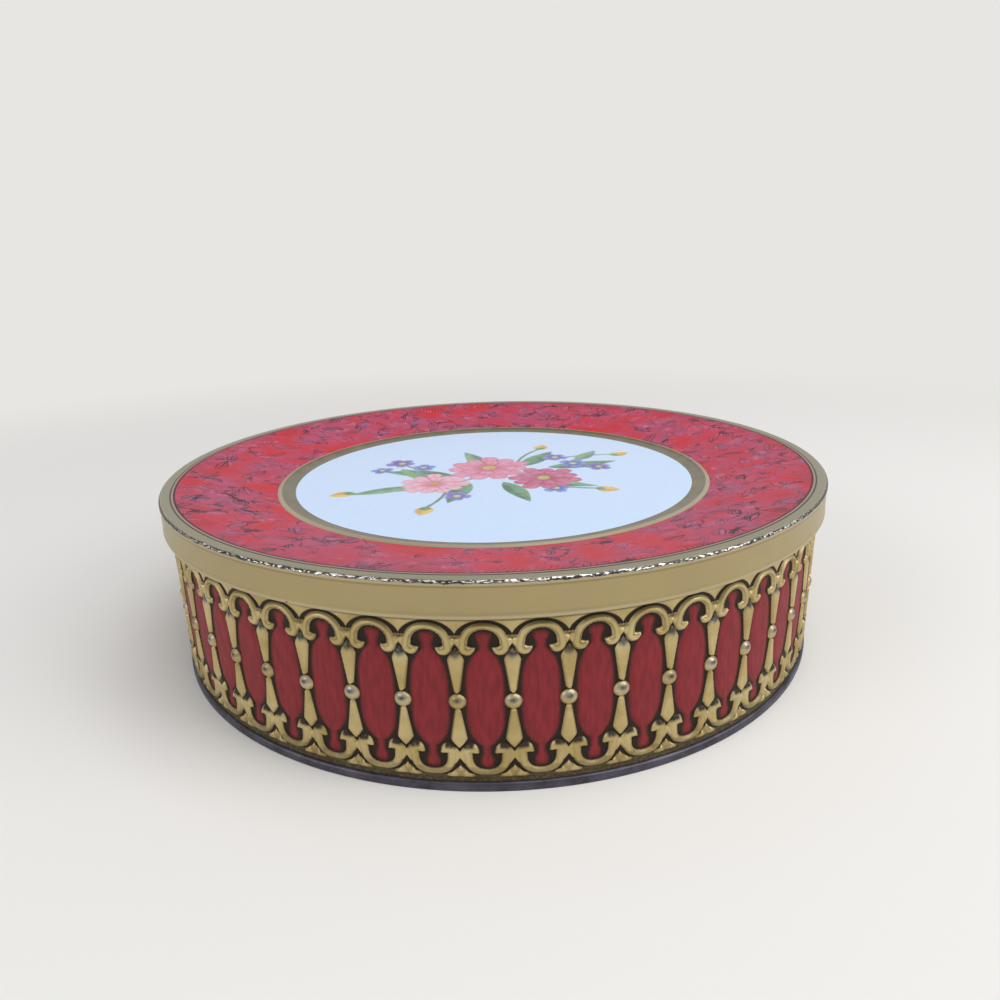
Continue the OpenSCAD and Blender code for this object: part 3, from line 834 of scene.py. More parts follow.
def border_print(colours, sizes):
    """Lithographed border: crimson with rose and mauve veils, scattered leaves and twigs in dark line work,
    and short hatching at the outer edge, under a thin varnish, with a dark line along the rim."""
    material, tree = new_material("lithographed_border")
    where, _, flat, radius = polar(tree)
    share = add(tree, "SeparateXYZ", {0: add(tree, "UVMap", uv_map="turned")})
    # Veils of about 14 and 8 mm, and a wander of 7 mm that bends the twigs
    veil = add(tree, "TexNoise", {"Vector": where, "Scale": PER_MM / 14.0, "Detail": 5.0, "Distortion": 0.6})
    haze = add(tree, "TexNoise", {"Vector": where, "Scale": PER_MM / 8.0, "Detail": 4.0})
    wander = add(tree, "TexNoise", {"Vector": where, "Scale": PER_MM / 7.0, "Detail": 3.0}, out=1)
    grain = add(tree, "TexNoise", {"Vector": where, "Scale": PER_MM / 0.5, "Detail": 3.0})
    base = clouded(tree, veil, 0.45, 0.65, colours.border_red, colours.border_rose)
    # Large and small leaves, tinted mauve where the haze is dense
    cover, ink = printed_leaves(tree, flat, 8.6, 3.3, 1.2, 0.0)
    cover_small, ink_small = printed_leaves(tree, flat, 5.2, 2.0, 0.7, 0.31)
    misty = add(tree, "MapRange", {"Value": haze, "From Min": 0.4, "From Max": 0.6})
    covers = add(tree, "Math", {0: cover, 1: cover_small}, operation="MAXIMUM")
    full = add(tree, "Math", {0: covers, 1: 0.35, 2: 0.25}, operation="MULTIPLY_ADD")
    tinted = add(tree, "Math", {0: full, 1: misty}, operation="MULTIPLY")
    veiled = add(tree, "Mix", {FACTOR: tinted, COLOUR_A: base, COLOUR_B: colours.border_mauve}, **MIX)
    # Pale patches of about 4 mm with torn edges, over a small part of the border
    torn = add(tree, "TexNoise", {"Vector": where, "Scale": PER_MM / 4.0, "Detail": 6.0, "Roughness": 0.6,
                                  "Distortion": 0.8})
    patch = add(tree, "MapRange", {"Value": torn, "From Min": 0.58, "From Max": 0.76, "To Max": 0.6})
    dotted = add(tree, "Mix", {FACTOR: patch, COLOUR_A: veiled, COLOUR_B: colours.border_pale}, **MIX)
    # Twigs: edges of warped cells 7 mm across, shown only in places
    bent = add(tree, "VectorMath", {0: wander, 1: (9.0 * MM,) * 3, 2: where}, operation="MULTIPLY_ADD")
    twig = add(tree, "TexVoronoi", {"Vector": bent, "Scale": PER_MM / 7.0}, feature="DISTANCE_TO_EDGE")
    on_twig = add(tree, "MapRange", {"Value": twig, "From Min": 0.035, "From Max": 0.015})
    here = add(tree, "MapRange", {"Value": haze, "From Min": 0.46, "From Max": 0.54})
    there = add(tree, "MapRange", {"Value": veil, "From Min": 0.42, "From Max": 0.52})
    twigs = add(tree, "Math", {0: on_twig, 1: here}, operation="MULTIPLY")
    sprigs = add(tree, "Math", {0: ink_small, 1: here}, operation="MULTIPLY")
    leaves = add(tree, "Math", {0: ink, 1: there}, operation="MULTIPLY")
    fine = add(tree, "Math", {0: twigs, 1: sprigs}, operation="MAXIMUM")
    lines = add(tree, "Math", {0: fine, 1: leaves}, operation="MAXIMUM")
    # Hatching: slanted strokes, a whole number round the border, 1.1 mm apart, whose length follows the haze
    strokes = round(TURN * sizes.rim_in / 1.1)
    slant = add(tree, "Math", {0: radius, 1: 1.9 * PER_MM}, operation="MULTIPLY")
    phase = add(tree, "Math", {0: share, 1: TURN * strokes, 2: slant}, operation="MULTIPLY_ADD")
    wavy = add(tree, "Math", {0: haze, 1: 9.0, 2: phase}, operation="MULTIPLY_ADD")
    wave = add(tree, "Math", {0: wavy}, operation="SINE")
    thin = add(tree, "MapRange", {"Value": wave, "From Min": 0.7, "From Max": 0.9})
    reach_in = add(tree, "Math", {0: haze, 1: -16.0 * MM, 2: radius}, operation="MULTIPLY_ADD")
    near = add(tree, "MapRange", {"Value": reach_in, "From Min": (sizes.rim_in - 11.4) * MM,
                                  "From Max": (sizes.rim_in - 9.4) * MM})
    hatch = add(tree, "Math", {0: thin, 1: near}, operation="MULTIPLY")
    edge = add(tree, "MapRange", {"Value": radius, "From Min": (sizes.rim_in - 0.16) * MM,
                                  "From Max": (sizes.rim_in - 0.08) * MM, "To Max": 0.9})
    inked = add(tree, "Math", {0: lines, 1: hatch}, operation="MAXIMUM")
    # The ink comes and goes, in places of about 5 mm
    pressed = add(tree, "TexNoise", {"Vector": where, "Scale": PER_MM / 5.0, "Detail": 3.0})
    dense = add(tree, "MapRange", {"Value": pressed, "From Min": 0.4, "From Max": 0.6, "To Min": 0.35,
                                   "To Max": 1.0})
    faded = add(tree, "Math", {0: inked, 1: dense}, operation="MULTIPLY")
    ink_all = add(tree, "Math", {0: faded, 1: edge}, operation="MAXIMUM")
    colour = add(tree, "Mix", {FACTOR: ink_all, COLOUR_A: dotted, COLOUR_B: colours.border_ink}, **MIX)
    rough = add(tree, "Math", {0: grain, 1: 0.15, 2: 0.34}, operation="MULTIPLY_ADD")
    finish(tree, grain, 0.08, 0.05, {"Base Color": colour, "Roughness": rough, "Specular IOR Level": 0.1,
                                     "Coat Weight": 0.02, "Coat Roughness": 0.2})
    return material


def medallion_print(colours):
    """White enamel ground, tinted blue as a painted reflection of the sky, with a printed spray of flowers,
    glossy and smooth, with a faint print grain.
    """
    material, tree = new_material("white_enamelled_tinplate")
    where = add(tree, "TexCoord", out="Object")
    paint = add(tree, "Attribute", attribute_name="paint", out="Color")
    grain = add(tree, "TexNoise", {"Vector": where, "Scale": PER_MM / 0.7, "Detail": 3.0})
    # Water-colour washes of about 2.5 mm let the white show through
    wash = add(tree, "TexNoise", {"Vector": where, "Scale": PER_MM / 2.5, "Detail": 4.0})
    pale = add(tree, "MapRange", {"Value": wash, "From Min": 0.4, "From Max": 0.75, "To Max": 0.22})
    washed = add(tree, "Mix", {FACTOR: pale, COLOUR_A: paint, COLOUR_B: colours.white}, **MIX)
    dust = add(tree, "MapRange", {"Value": grain, "From Min": 0.3, "From Max": 0.7, "To Min": 0.95,
                                  "To Max": 1.0})
    colour = add(tree, "VectorMath", {0: washed, "Scale": dust}, operation="SCALE")
    rough = add(tree, "Math", {0: grain, 1: 0.12, 2: 0.25}, operation="MULTIPLY_ADD")
    finish(tree, grain, 0.05, 0.04, {"Base Color": colour, "Roughness": rough, "Specular IOR Level": 0.2,
                                     "Coat Weight": 0.05, "Coat Roughness": 0.12})
    return material


def bare_tin(colours):
    """Bare tinplate, rolled: grey and softly bright, with dull clouded patches and fine scratches."""
    material, tree = new_material("bare_tinplate")
    where = add(tree, "TexCoord", out="Object")
    cloud = add(tree, "TexNoise", {"Vector": where, "Scale": PER_MM / 12.0, "Detail": 6.0})
    drawn = add(tree, "Mapping", {"Vector": where, "Rotation": (0.0, 0.0, 0.6), "Scale": (1.0, 0.06, 1.0)})
    scratch = add(tree, "TexNoise", {"Vector": drawn, "Scale": PER_MM / 0.5, "Detail": 2.0})
    colour = clouded(tree, cloud, 0.4, 0.65, colours.tin, colours.tin_stain)
    dull = add(tree, "Math", {0: cloud, 1: 0.25, 2: 0.22}, operation="MULTIPLY_ADD")
    rough = add(tree, "Math", {0: scratch, 1: 0.1, 2: dull}, operation="MULTIPLY_ADD")
    finish(tree, scratch, 0.08, 0.03, {"Base Color": colour, "Metallic": 0.95, "Roughness": rough})
    return material


def aged_tin(colours):
    """Plain tinplate gone dark with age: slate grey with darker clouds, a little rough."""
    material, tree = new_material("aged_tinplate")
    where = add(tree, "TexCoord", out="Object")
    cloud = add(tree, "TexNoise", {"Vector": where, "Scale": PER_MM / 4.0, "Detail": 6.0, "Roughness": 0.6})
    grain = add(tree, "TexNoise", {"Vector": where, "Scale": PER_MM / 0.6, "Detail": 3.0})
    colour = clouded(tree, cloud, 0.35, 0.65, colours.steel_deep, colours.steel)
    rough = add(tree, "Math", {0: grain, 1: 0.25, 2: 0.3}, operation="MULTIPLY_ADD")
    finish(tree, grain, 0.15, 0.06, {"Base Color": colour, "Metallic": 0.75, "Roughness": rough})
    return material


def shared_material(make, *values):
    """The material that a function makes, made once and then kept under the function's name."""
    for material in bpy.data.materials:
        if material.get("made_by") == make.__name__:
            return material
    material = make(*values)
    material["made_by"] = make.__name__
    return material


# Flowers of the medallion

def lay(paint, cover, colour):
    """Lays a colour over the paint where cover is 1, and part of it where cover is less."""
    paint += cover[:, None] * (np.asarray(colour) - paint)


def stem(paint, x, y, ends, bow, half, colour):
    """Paints a bowed stroke between two ends: discs along a parabola through them."""
    (x0, y0), (x1, y1) = ends
    t = np.linspace(0.0, 1.0, 60)
    px = x0 + (x1 - x0) * t - (y1 - y0) * bow * 4.0 * t * (1.0 - t)
    py = y0 + (y1 - y0) * t + (x1 - x0) * bow * 4.0 * t * (1.0 - t)
    gap = np.hypot(x[:, None] - px, y[:, None] - py).min(1)
    lay(paint, smooth(half - gap, -0.2, 0.2), colour)


def leaf(paint, x, y, root, angle, size, half, bow, colours):
    """Paints a lance leaf: its half-width is a sine along its length, with a pale rib and slanting veins."""
    along = (x - root[0]) * math.cos(angle) + (y - root[1]) * math.sin(angle)
    across = (y - root[1]) * math.cos(angle) - (x - root[0]) * math.sin(angle)
    t = np.clip(along / size, 0.0, 1.0)
    across = across - bow * size * t * t
    width = half * np.sin(math.pi * t ** 0.8) ** 0.9
    cover = smooth(width - np.abs(across), -0.12, 0.25) * (along > 0.0) * (along < size)
    dark, light = np.array(colours[0]), np.array(colours[1])
    veins = 0.5 + 0.5 * np.cos((along - 0.9 * np.abs(across)) * TURN / 1.7)
    side = smooth(across, -0.5 * half, 0.6 * half) * 0.7 + 0.3 * veins * smooth(np.abs(across), 0.2, 0.6)
    side = np.maximum(side, np.exp(-(across / 0.22) ** 2))
    lay(paint, cover, dark + side[:, None] * (light - dark))


def blossom(paint, x, y, middle, size, petals, turn, depth, colours):
    """Paints a flower from above: round petals, each with a length and a tint of its own, brushed along,
    deeper in colour at their rims and where they overlap. A petal's chance is the fraction of a large sine
    of its number."""
    dx, dy = x - middle[0], y - middle[1]
    away = np.hypot(dx, dy)
    place_round = (np.arctan2(dy, dx) - turn) / TURN * petals
    number = np.floor(place_round) % petals
    across = 2.0 * (place_round - np.floor(place_round)) - 1.0
    chance = np.sin(12.99 * number + 3.1 * size + turn) * 43758.5 % 1.0
    edge = size * (1.0 - 0.2 * chance) * (1.0 - depth * (1.0 - np.sqrt(1.0 - np.abs(across) ** 2.2)))
    inner, outer, shade, heart = (np.array(c) for c in colours)
    t = away / np.maximum(edge, 1e-6)
    colour = inner + smooth(t, 0.25, 0.85)[:, None] * (outer - inner)
    brushed = 0.22 * (0.5 + 0.5 * np.cos(7.0 * across + 9.0 * chance)) * smooth(t, 0.3, 0.6)
    between = 0.55 * smooth(np.abs(across), 0.7, 1.0) + 0.4 * smooth(t, 0.86, 1.0) * (0.4 + 0.6 * chance)
    deep = np.clip(between + brushed, 0.0, 1.0) * smooth(t, 0.1, 0.3)
    colour = colour + deep[:, None] * (shade - colour)
    lay(paint, smooth(edge - away, -0.2, 0.35), colour)
    lay(paint, 0.9 * smooth(0.25 * size - away, -0.25, 0.25), heart)
    dots = 0.5 + 0.5 * np.cos(9.0 * np.arctan2(dy, dx))
    lay(paint, 0.6 * dots * np.exp(-((away - 0.24 * size) / 0.3) ** 2), shade)


def bud(paint, x, y, root, angle, size, colours):
    """Paints a closed bud: a plump leaf shape in two tones with a green cup at its root."""
    leaf(paint, x, y, root, angle, size, 0.36 * size, 0.0, colours[:2])
    leaf(paint, x, y, root, angle, 0.45 * size, 0.24 * size, 0.0, colours[2:])


def flower_spray(x, y, white):
    """Paint of the medallion: a loose spray that sweeps from the lower left to the upper right."""
    paint = np.tile(np.asarray(white, float), (len(x), 1))
    twig = linear("66804e")

    # Leaves have a dark and a light tone, blossoms an inner, an outer and a deep one and a heart, and buds
    # the tones of the bud and of its cup
    green, sage, pink, rose, pale, violet, blue, yellow = (tuple(map(linear, tones.split())) for tones in (
        "2f6b4a 6f9f62", "3f7f66 8bb276", "d0557c e896b2 97204c c2b24a", "b02a58 d26489 74123a c2b24a",
        "dc7794 f0bccb ad3460 bf9a34", "5a46a0 8d7fd0 2f2068 e2cf6c", "4058b4 7f95de 22307c e2cf6c",
        "cf9a2c eccb62 527c42 7fa35a"))

    # Stems: the long sweep, then side shoots
    for ends, bow in ((((-34.0, -13.0), (0.0, 1.0)), -0.12), (((0.0, 1.0), (33.0, 15.0)), 0.12),
                      (((6.0, 3.0), (14.0, 24.0)), 0.1), (((-8.0, -2.0), (-24.0, 13.0)), 0.08),
                      (((4.0, -4.0), (24.0, -16.0)), -0.1), (((-12.0, -7.0), (-16.0, -26.0)), 0.1)):
        stem(paint, x, y, ends, bow, 0.42, twig)

    # Leaves along the sweep: root, angle in degrees, length, half-width, bow
    for root, angle, size, half, bow, tone in (
            ((-10.0, -1.0), 158.0, 19.0, 2.9, 0.06, green), ((-20.0, -9.0), 205.0, 15.0, 2.2, -0.08, sage),
            ((-16.0, -4.0), 120.0, 14.0, 2.5, 0.08, sage), ((8.0, 6.0), 62.0, 17.0, 2.8, -0.06, green),
            ((14.0, 4.0), 8.0, 19.0, 2.9, 0.08, green), ((22.0, 10.0), 52.0, 12.0, 2.1, 0.06, sage),
            ((6.0, -6.0), -28.0, 20.0, 2.7, 0.07, sage), ((-6.0, -8.0), -112.0, 16.0, 2.6, 0.06, green),
            ((2.0, -8.0), -68.0, 17.0, 2.4, -0.07, green), ((-2.0, 6.0), 104.0, 18.0, 2.5, 0.06, sage)):
        leaf(paint, x, y, root, math.radians(angle), size, half, bow, tone)

    # Buds at the ends of the shoots
    for root, angle in (((32.0, 14.0), 25.0), ((13.5, 23.0), 75.0), ((23.0, -15.5), -25.0),
                        ((-15.5, -25.0), -100.0), ((-33.0, -12.5), 200.0)):
        bud(paint, x, y, root, math.radians(angle), 6.0, yellow)

    # Small five-petalled blossoms, then the large many-petalled ones
    for middle, size, turn, tone in (((-24.0, 13.0), 4.4, 0.3, violet), ((-18.0, 8.0), 3.8, 0.9, blue),
                                     ((-28.5, 6.5), 3.4, 0.0, blue), ((21.0, 7.0), 4.4, 0.5, blue),
                                     ((27.0, 3.0), 3.8, 1.1, violet), ((17.0, 14.0), 3.8, 0.2, violet),
                                     ((14.0, -14.5), 3.8, 0.7, blue), ((-9.0, -18.0), 3.6, 0.4, violet)):
        blossom(paint, x, y, middle, size, 5, turn, 0.5, tone)
    for middle, size, turn, tone in (((-14.5, -7.5), 9.2, 0.2, pale), ((12.0, -5.5), 10.2, 0.5, rose),
                                     ((-1.0, 5.5), 12.0, 0.1, pink)):
        blossom(paint, x, y, middle, size, 11, turn, 0.3, tone)
        blossom(paint, x, y, middle, 0.66 * size, 8, turn + 0.15, 0.3, tone)
    return paint


# Operators

def roll_radius(s):
    """Radius of the roll along the wall's top edge."""
    return (s.roll_out - s.body_r + s.sheet) / 2.0


class TIN_OT_wall(bpy.types.Operator):
    """Embossed and printed wall, in eight lengths of sheet"""
    bl_idname = "tin.wall"
    bl_label = "Embossed wall"

    def execute(self, context):
        s, o = in_mm(context.scene.tin_sizes), in_mm(context.scene.tin_ornament)
        colours = context.scene.tin_colours
        outside = shared_material(printed_wall, colours)
        inside = shared_material(bare_tin, colours)
        lengths = 8
        pitch = TURN * s.body_r / o.panels

        # Rows are fine where the sheet shows, and their number leaves whole steps for the lining
        fine = np.arange(s.seam_h - 0.1, s.lid_low + 0.5, o.row_step)
        z = np.concatenate([[s.wall_foot, 0.5 * (s.wall_foot + fine[0])], fine,
                            np.linspace(fine[-1] + 1.0, s.body_top - roll_radius(s),
                                        4 + (1 - len(fine)) % LINING_STEP)])
        x = pitch * (np.arange(o.columns) / o.columns - 0.5)
        panel = ornament(*np.meshgrid(x, z), o, pitch)
        relief = panel.relief

        # The lining follows the lowest relief within its own step, so that it stays behind the skin
        near = range(-LINING_STEP, LINING_STEP + 1)
        behind = np.minimum.reduce([np.roll(relief, (i, j), (0, 1)) for i in near for j in near])
        slopes, slopes_in = relief_slopes(relief, z, o, pitch), relief_slopes(behind, z, o, pitch)
        total = o.panels * o.columns
        thinned = slice(None, None, LINING_STEP)
        cuts = np.round(np.linspace(0, o.panels, lengths + 1)).astype(int) * o.columns + o.columns // 2
        for number, (start, end) in enumerate(zip(cuts[:-1], cuts[1:])):
            column = np.arange(start, end + 1)
            angle = FRONT + TURN * column / total
            tile = column % o.columns
            from_back = s.body_r * np.abs(((angle - BACK + math.pi) % TURN) - math.pi)
            line = SEAM_DEPTH * np.exp(-(from_back / SEAM_HALF) ** 2)
            out = s.body_r + (relief[:, tile] - line)
            back = s.body_r + (behind[:, tile] - line)[thinned, thinned] - s.sheet
            skin = round_axis(out, angle, z[:, None])
            lining = round_axis(back, angle[thinned], z[thinned, None])
            normal = wall_normals(slopes, tile, angle)
            normal_in = -wall_normals(slopes_in, tile, angle)[thinned, thinned]

            outer = np.arange(out.size).reshape(out.shape)
            inner = out.size + np.arange(back.size).reshape(back.shape)
            quads = grid_faces(*out.shape)
            quads_in = grid_faces(*back.shape, out.size, True)
            tris = np.concatenate([stitch(outer[0], inner[0], True), stitch(outer[-1], inner[-1]),
                                   stitch(outer[:, 0], inner[:, 0]),
                                   stitch(outer[:, -1], inner[:, -1], True)])
            points = np.concatenate([skin.reshape(-1, 3), lining.reshape(-1, 3)]) * MM
            slots = np.concatenate([np.zeros(len(quads)), np.ones(len(quads_in) + len(tris))])
            mesh = fill_mesh(f"wall_{number + 1}", points, [quads, quads_in, tris], slots)
            normals = np.concatenate([normal.reshape(-1, 3), normal_in.reshape(-1, 3)])
            mesh.normals_split_custom_set_from_vertices(normals)
            for name in WALL_PRINT:
                values = np.concatenate([getattr(panel, name)[:, tile].ravel(), np.zeros(back.size)])
                layer = mesh.attributes.new(name, "FLOAT", "POINT")
                layer.data.foreach_set("value", values.astype(np.float32))
            flat = np.stack(np.broadcast_arrays(s.body_r * (angle - FRONT), z[:, None]), -1).reshape(-1, 2)
            flat = np.concatenate([flat, np.zeros((back.size, 2))])
            corner = np.empty(len(mesh.loops), np.int32)
            mesh.loops.foreach_get("vertex_index", corner)
            layer = mesh.uv_layers.new(name="unrolled")
            layer.data.foreach_set("uv", flat[corner].astype(np.float32).ravel())
            place(mesh, (outside, inside), "body", "body_wall")
        return {"FINISHED"}


class TIN_OT_side_seam(bpy.types.Operator):
    """Folded side seam: a strip bent to the wall's inside, with its two long edges rounded off"""
    bl_idname = "tin.side_seam"
    bl_label = "Side seam"

    def execute(self, context):
        s, o = in_mm(context.scene.tin_sizes), in_mm(context.scene.tin_ornament)
        share = np.linspace(-1.0, 1.0, 25)
        bend = BACK + 0.5 * s.lock_w * share / s.body_r
        height = np.linspace(s.floor_top + s.sheet, s.body_top - roll_radius(s) - 0.8, 40)
        thick = 2.0 * s.sheet * np.sqrt(np.clip(1.0 - np.abs(share) ** 8, 0.0, 1.0))
        root = s.body_r - o.ground - SEAM_DEPTH - 0.5 * s.sheet
        loop_r = np.concatenate([root - thick, np.full(len(share), root)])
        strip = round_axis(loop_r, np.concatenate([bend, bend[::-1]]), height[:, None])
        strip = np.concatenate([strip, strip[:, :1]], 1)
        mesh = fill_mesh("side_seam", strip.reshape(-1, 3) * MM, [grid_faces(*strip.shape[:2], 0, True)])
        weld(mesh, capped=True)
        mesh.set_sharp_from_angle(angle=math.radians(50.0))
        place(mesh, (shared_material(bare_tin, context.scene.tin_colours),), "body", "body_wall")
        return {"FINISHED"}


class TIN_OT_roll(bpy.types.Operator):
    """Rolled top edge of the wall: a round wire of sheet turned about the axis"""
    bl_idname = "tin.roll"
    bl_label = "Rolled edge"

    def execute(self, context):
        s, colours = in_mm(context.scene.tin_sizes), context.scene.tin_colours
        tube = roll_radius(s)
        ring = arc(s.roll_out - tube, s.body_top - tube, tube, -90.0, 270.0, 28)[:-1]
        mesh = lathe("rolled_edge", ring)
        place(mesh, (shared_material(bare_tin, colours),), "body", "body_wall")
        return {"FINISHED"}


class TIN_OT_base(bpy.types.Operator):
    """Stamped base: raised floor, and the rounded fold round the wall's foot"""
    bl_idname = "tin.base"
    bl_label = "Seamed base"

    def execute(self, context):
        s, colours = in_mm(context.scene.tin_sizes), context.scene.tin_colours
        under = s.floor_top - s.sheet
        groove_out, groove_in = s.body_r + 0.04, s.body_r - s.sheet - 0.04
        floor_bend, leg_edge, foot_edge, edge = 0.6, 0.25, 0.2, 0.56
        floor_r = np.array([0.0, 40.0, 70.0])
        profile = np.concatenate([
            np.stack([floor_r, np.full(3, under)], 1),
            arc(s.seam_in - floor_bend, under - floor_bend, floor_bend, 90.0, 0.0, 6),
            arc(s.seam_in + leg_edge, leg_edge, leg_edge, 180.0, 270.0, 5),
            arc(s.seam_out - foot_edge, foot_edge, foot_edge, -90.0, 0.0, 8),
            arc(s.seam_out - edge, s.seam_h - edge, edge, 0.0, 90.0, 8),
            np.array([[groove_out, s.seam_h - 0.06], [groove_out, s.sheet], [groove_in, s.sheet]]),
            arc(groove_in - 0.2, s.floor_top - 0.2, 0.2, 0.0, 90.0, 5),
            np.stack([floor_r[::-1], np.full(3, s.floor_top)], 1),
        ])
        inside = profile[:, 1] > s.floor_top - 0.01
        slots = (inside & (profile[:, 0] < groove_in)).astype(int)
        mesh = lathe("seamed_base", profile, slots=slots, poles=True)
        place(mesh, (shared_material(aged_tin, colours), shared_material(bare_tin, colours)),
              "body", "base")
        return {"FINISHED"}


class TIN_OT_lid(bpy.types.Operator):
    """Lid pressing: hemmed skirt, worn corner, rim, sloped border and beaded ring, with a plain underside"""
    bl_idname = "tin.lid"
    bl_label = "Lid pressing"

    def execute(self, context):
        s, colours = in_mm(context.scene.tin_sizes), context.scene.tin_colours
        recess, rim_drop, bead_h = 0.13, 0.09, 0.32
        hem = s.sheet
        hem_z = s.lid_low + s.hem_h
        skirt = s.lid_out - recess
        corner_z, corner_mid = s.lid_top - s.corner_r, s.lid_out - s.corner_r
        rim_z = s.lid_top - rim_drop
        outer = np.concatenate([
            arc(s.lid_out - hem, s.lid_low + hem, hem, 180.0, 360.0, 12),
            np.array([[s.lid_out, s.lid_low + 0.55], [s.lid_out - 0.03, s.lid_low + 0.8],
                      [skirt + 0.02, hem_z + 0.1], [skirt, hem_z + 0.3], [skirt, 35.5],
                      [skirt, corner_z - 1.0], [skirt + 0.03, corner_z - 0.75],
                      [s.lid_out - 0.02, corner_z - 0.4]]),
            arc(corner_mid, corner_z, s.corner_r, 0.0, 90.0, 10),
            np.array([[corner_mid - 0.5, rim_z + 0.03], [s.rim_in + 1.0, rim_z], [s.rim_in + 0.3, rim_z]]),
        ])
        slope = (rim_z - 0.03 - s.ring_z) / (s.rim_in - s.ring_out)
        border_r = np.linspace(s.rim_in, s.ring_out, 30)
        border = np.stack([border_r, s.ring_z + slope * (border_r - s.ring_out)], 1)
        t = np.linspace(0.0, 1.0, 26)[1:]
        ring_r = s.ring_out + (s.medallion_r - s.ring_out) * t
        bead = bead_h * np.exp(-((t - 0.2) / 0.13) ** 2)
        cove = s.ring_z + (s.medallion_z - s.ring_z) * smooth(t, 0.1, 1.0)
        ring = np.stack([ring_r, cove + bead], 1)
        face = np.concatenate([border, ring])
        under = (face - [0.0, s.sheet])[::-1]
        inner = np.concatenate([
            np.array([[s.rim_in + 0.3, rim_z - s.sheet], [corner_mid - 0.5, rim_z - s.sheet]]),
            arc(corner_mid, corner_z, s.corner_r - s.sheet, 90.0, 0.0, 6),
            np.array([[skirt - s.sheet, 36.5], [skirt - s.sheet, hem_z + 0.1]]),
            arc(s.lid_out - 1.5 * hem, hem_z - 0.15, 0.5 * hem, 20.0, 180.0, 6),
        ])
        profile = np.concatenate([outer, face, under, inner])
        slots = np.concatenate([np.full(len(outer) - 1, 0), np.full(len(border), 1), np.full(len(ring), 2),
                                np.full(len(under) + len(inner) + 1, 3)])
        mesh = lathe("lid_pressing", profile, slots=slots)
        place(mesh, (shared_material(gold_lacquer, colours, s), shared_material(border_print, colours, s),
                     shared_material(gilt_ring, colours, s), shared_material(bare_tin, colours)),
              "lid", "lid")
        return {"FINISHED"}


class TIN_OT_medallion(bpy.types.Operator):
    """Flat medallion of the lid: a fine polar grid that carries the printed spray as colours of its points"""
    bl_idname = "tin.medallion"
    bl_label = "Printed medallion"

    def execute(self, context):
        s, colours = in_mm(context.scene.tin_sizes), context.scene.tin_colours
        rings, rings_under = 126, 6
        low = s.medallion_z - s.sheet
        under = np.stack([np.linspace(0.0, s.medallion_r, rings_under), np.full(rings_under, low)], 1)
        face = np.stack([np.linspace(s.medallion_r, 0.0, rings), np.full(rings, s.medallion_z)], 1)
        slots = np.concatenate([np.ones(rings_under), np.zeros(rings)])
        mesh = lathe("lid_medallion", np.concatenate([under, face]), PICTURE_STEPS, slots, poles=True)
        points = np.empty(3 * len(mesh.vertices), np.float32)
        mesh.vertices.foreach_get("co", points)
        points = points.reshape(-1, 3) / MM
        paint = flower_spray(points[:, 0].astype(float), points[:, 1].astype(float), colours.white)
        colour = np.concatenate([paint, np.ones((len(paint), 1))], 1)
        layer = mesh.attributes.new("paint", "FLOAT_COLOR", "POINT")
        layer.data.foreach_set("color", colour.astype(np.float32).ravel())
        place(mesh, (shared_material(medallion_print, colours), shared_material(bare_tin, colours)),
              "lid", "lid")
        return {"FINISHED"}


def paper_sweep(scene, studio):
    """Sheet of paper that runs from the floor up into the backdrop on a quarter circle.

    Near the tin it takes shadows, and away from it the camera and mirror images see an even glow."""
    front, bend_y, bend_r, top, wide = -3.0, 1.6, 0.8, 3.5, 4.0
    bend = np.radians(np.linspace(-90.0, 0.0, 25))
    y = np.concatenate([[front], bend_y + bend_r * np.cos(bend), [bend_y + bend_r]])
    z = np.concatenate([[0.0], bend_r + bend_r * np.sin(bend), [top]])
    x = np.linspace(-wide, wide, 9)
    sheet = np.stack(np.broadcast_arrays(x, y[:, None], z[:, None]), -1)
    mesh = fill_mesh("paper_sweep", sheet.reshape(-1, 3), [grid_faces(len(y), len(x))])
    paper, tree = new_material("matt_paper")
    matt = add(tree, "BsdfPrincipled", {"Base Color": studio.floor, "Roughness": 0.9,
                                        "Specular IOR Level": 0.2})
    even = add(tree, "Emission", {"Color": studio.backdrop, "Strength": 1.0})
    where = add(tree, "TexCoord", out="Object")
    away = add(tree, "VectorMath", {0: where}, operation="LENGTH", out="Value")
    far = add(tree, "MapRange", {"Value": away, "From Min": 0.14, "From Max": 0.5},
              interpolation_type="SMOOTHSTEP")
    rays = add(tree, "LightPath", out=None)
    seen = add(tree, "Math", {0: rays["Is Camera Ray"], 1: rays["Is Glossy Ray"]}, operation="MAXIMUM")
    share = add(tree, "Math", {0: far, 1: seen}, operation="MULTIPLY")
    mixed = add(tree, "MixShader", {0: share, 1: matt, 2: even})
    add(tree, "OutputMaterial", {"Surface": mixed}, out=None)
    mesh.materials.append(paper)
    sweep = bpy.data.objects.new("paper_sweep", mesh)
    scene.collection.objects.link(sweep)


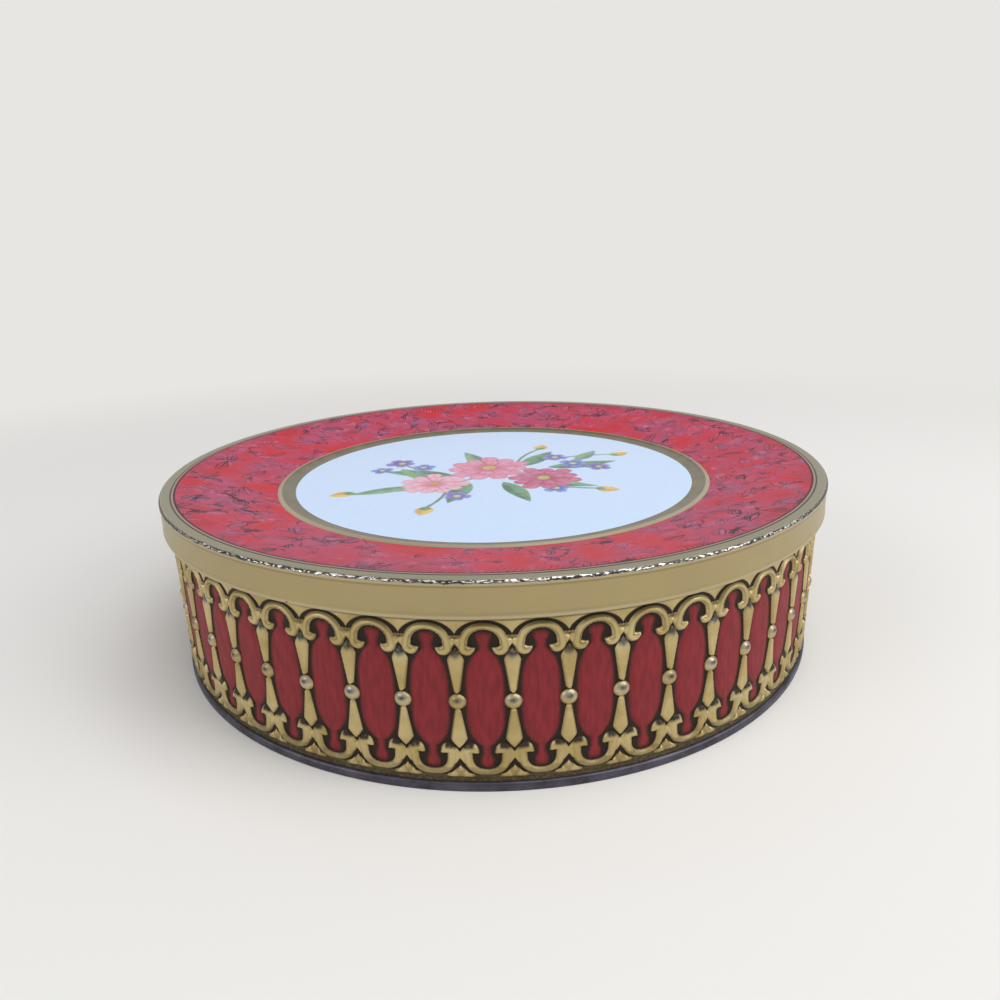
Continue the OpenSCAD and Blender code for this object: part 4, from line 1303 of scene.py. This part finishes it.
def soft_light(scene, studio):
    """Even light from all sides, and three soft round lamps that face the tin."""
    world = bpy.data.worlds.new("soft_studio")
    world.use_nodes = True
    world.node_tree.nodes.clear()
    sky = add(world.node_tree, "Background", {"Color": studio.sky, "Strength": studio.sky_power})
    add(world.node_tree, "OutputWorld", {"Surface": sky}, out=None)
    scene.world = world

    aim = Vector((0.0, 0.0, 0.02))
    for name, spot, size, power in (("soft_top", (0.25, -0.2, 0.85), 0.7, 3.4),
                                    ("soft_left", (-0.8, -0.5, 0.5), 0.6, 2.3),
                                    ("soft_right", (0.8, -0.35, 0.55), 0.6, 3.5)):
        lamp = bpy.data.lights.new(name, "AREA")
        lamp.shape = "DISK"
        lamp.size = size
        lamp.energy = power
        holder = bpy.data.objects.new(name, lamp)
        holder.location = spot
        holder.rotation_euler = (aim - holder.location).to_track_quat("-Z", "Y").to_euler()
        scene.collection.objects.link(holder)


def add_camera(scene, studio):
    """Camera that is turned round the tin, and then has a yaw, pitch and roll of its own."""
    heading = studio.azimuth + FRONT
    yaw = studio.yaw - studio.azimuth
    ahead = Vector((math.sin(yaw) * math.cos(studio.pitch), math.cos(yaw) * math.cos(studio.pitch),
                    -math.sin(studio.pitch)))
    level = Vector((math.cos(yaw), -math.sin(yaw), 0.0))
    above = level.cross(ahead)
    side = math.cos(studio.roll) * level + math.sin(studio.roll) * above
    upright = math.cos(studio.roll) * above - math.sin(studio.roll) * level
    spot = Vector((studio.camera_out * math.cos(heading), studio.camera_out * math.sin(heading),
                   studio.camera_up))
    lens = bpy.data.cameras.new("camera")
    lens.lens = studio.lens
    lens.sensor_width = studio.sensor
    lens.clip_start = 0.01
    camera = bpy.data.objects.new("camera", lens)
    scene.collection.objects.link(camera)
    turned = Matrix((side, upright, -ahead)).transposed().to_4x4()
    camera.matrix_world = Matrix.Translation(spot) @ turned
    scene.camera = camera


class TIN_OT_stage(bpy.types.Operator):
    """Pale floor and backdrop, soft studio light, and the camera"""
    bl_idname = "tin.stage"
    bl_label = "Studio"

    def execute(self, context):
        scene, studio = context.scene, context.scene.tin_studio
        scene.view_settings.view_transform = "Standard"
        paper_sweep(scene, studio)
        soft_light(scene, studio)
        add_camera(scene, studio)
        return {"FINISHED"}


OPERATORS = (TIN_OT_wall, TIN_OT_side_seam, TIN_OT_roll, TIN_OT_base, TIN_OT_lid, TIN_OT_medallion,
             TIN_OT_stage)
GROUPS = {"tin_sizes": TinSizes, "tin_ornament": PanelOrnament, "tin_colours": TinColours,
          "tin_studio": StudioSet}


class TIN_PT_panel(bpy.types.Panel):
    """Lists the pieces of the tin box, and its sizes and colours"""
    bl_idname = "TIN_PT_panel"
    bl_label = "Round tin box"
    bl_space_type = "VIEW_3D"
    bl_region_type = "UI"
    bl_category = "Tin box"

    def draw(self, context):
        for operator in OPERATORS:
            self.layout.operator(operator.bl_idname)
        for name, group in GROUPS.items():
            column = self.layout.column()
            for value in group.__annotations__:
                column.prop(getattr(context.scene, name), value)


def register():
    """Registers the property groups, operators and panel."""
    for name, group in GROUPS.items():
        bpy.utils.register_class(group)
        setattr(bpy.types.Scene, name, PointerProperty(type=group))
    for cls in (*OPERATORS, TIN_PT_panel):
        bpy.utils.register_class(cls)


def unregister():
    """Takes them out again, in the opposite order."""
    for cls in (TIN_PT_panel, *reversed(OPERATORS)):
        bpy.utils.unregister_class(cls)
    for name, group in reversed(GROUPS.items()):
        delattr(bpy.types.Scene, name)
        bpy.utils.unregister_class(group)


def main():
    """Builds every piece and the stage."""
    register()
    bpy.ops.tin.wall()
    bpy.ops.tin.side_seam()
    bpy.ops.tin.roll()
    bpy.ops.tin.base()
    bpy.ops.tin.lid()
    bpy.ops.tin.medallion()
    bpy.ops.tin.stage()


if __name__ == "__main__":
    main()
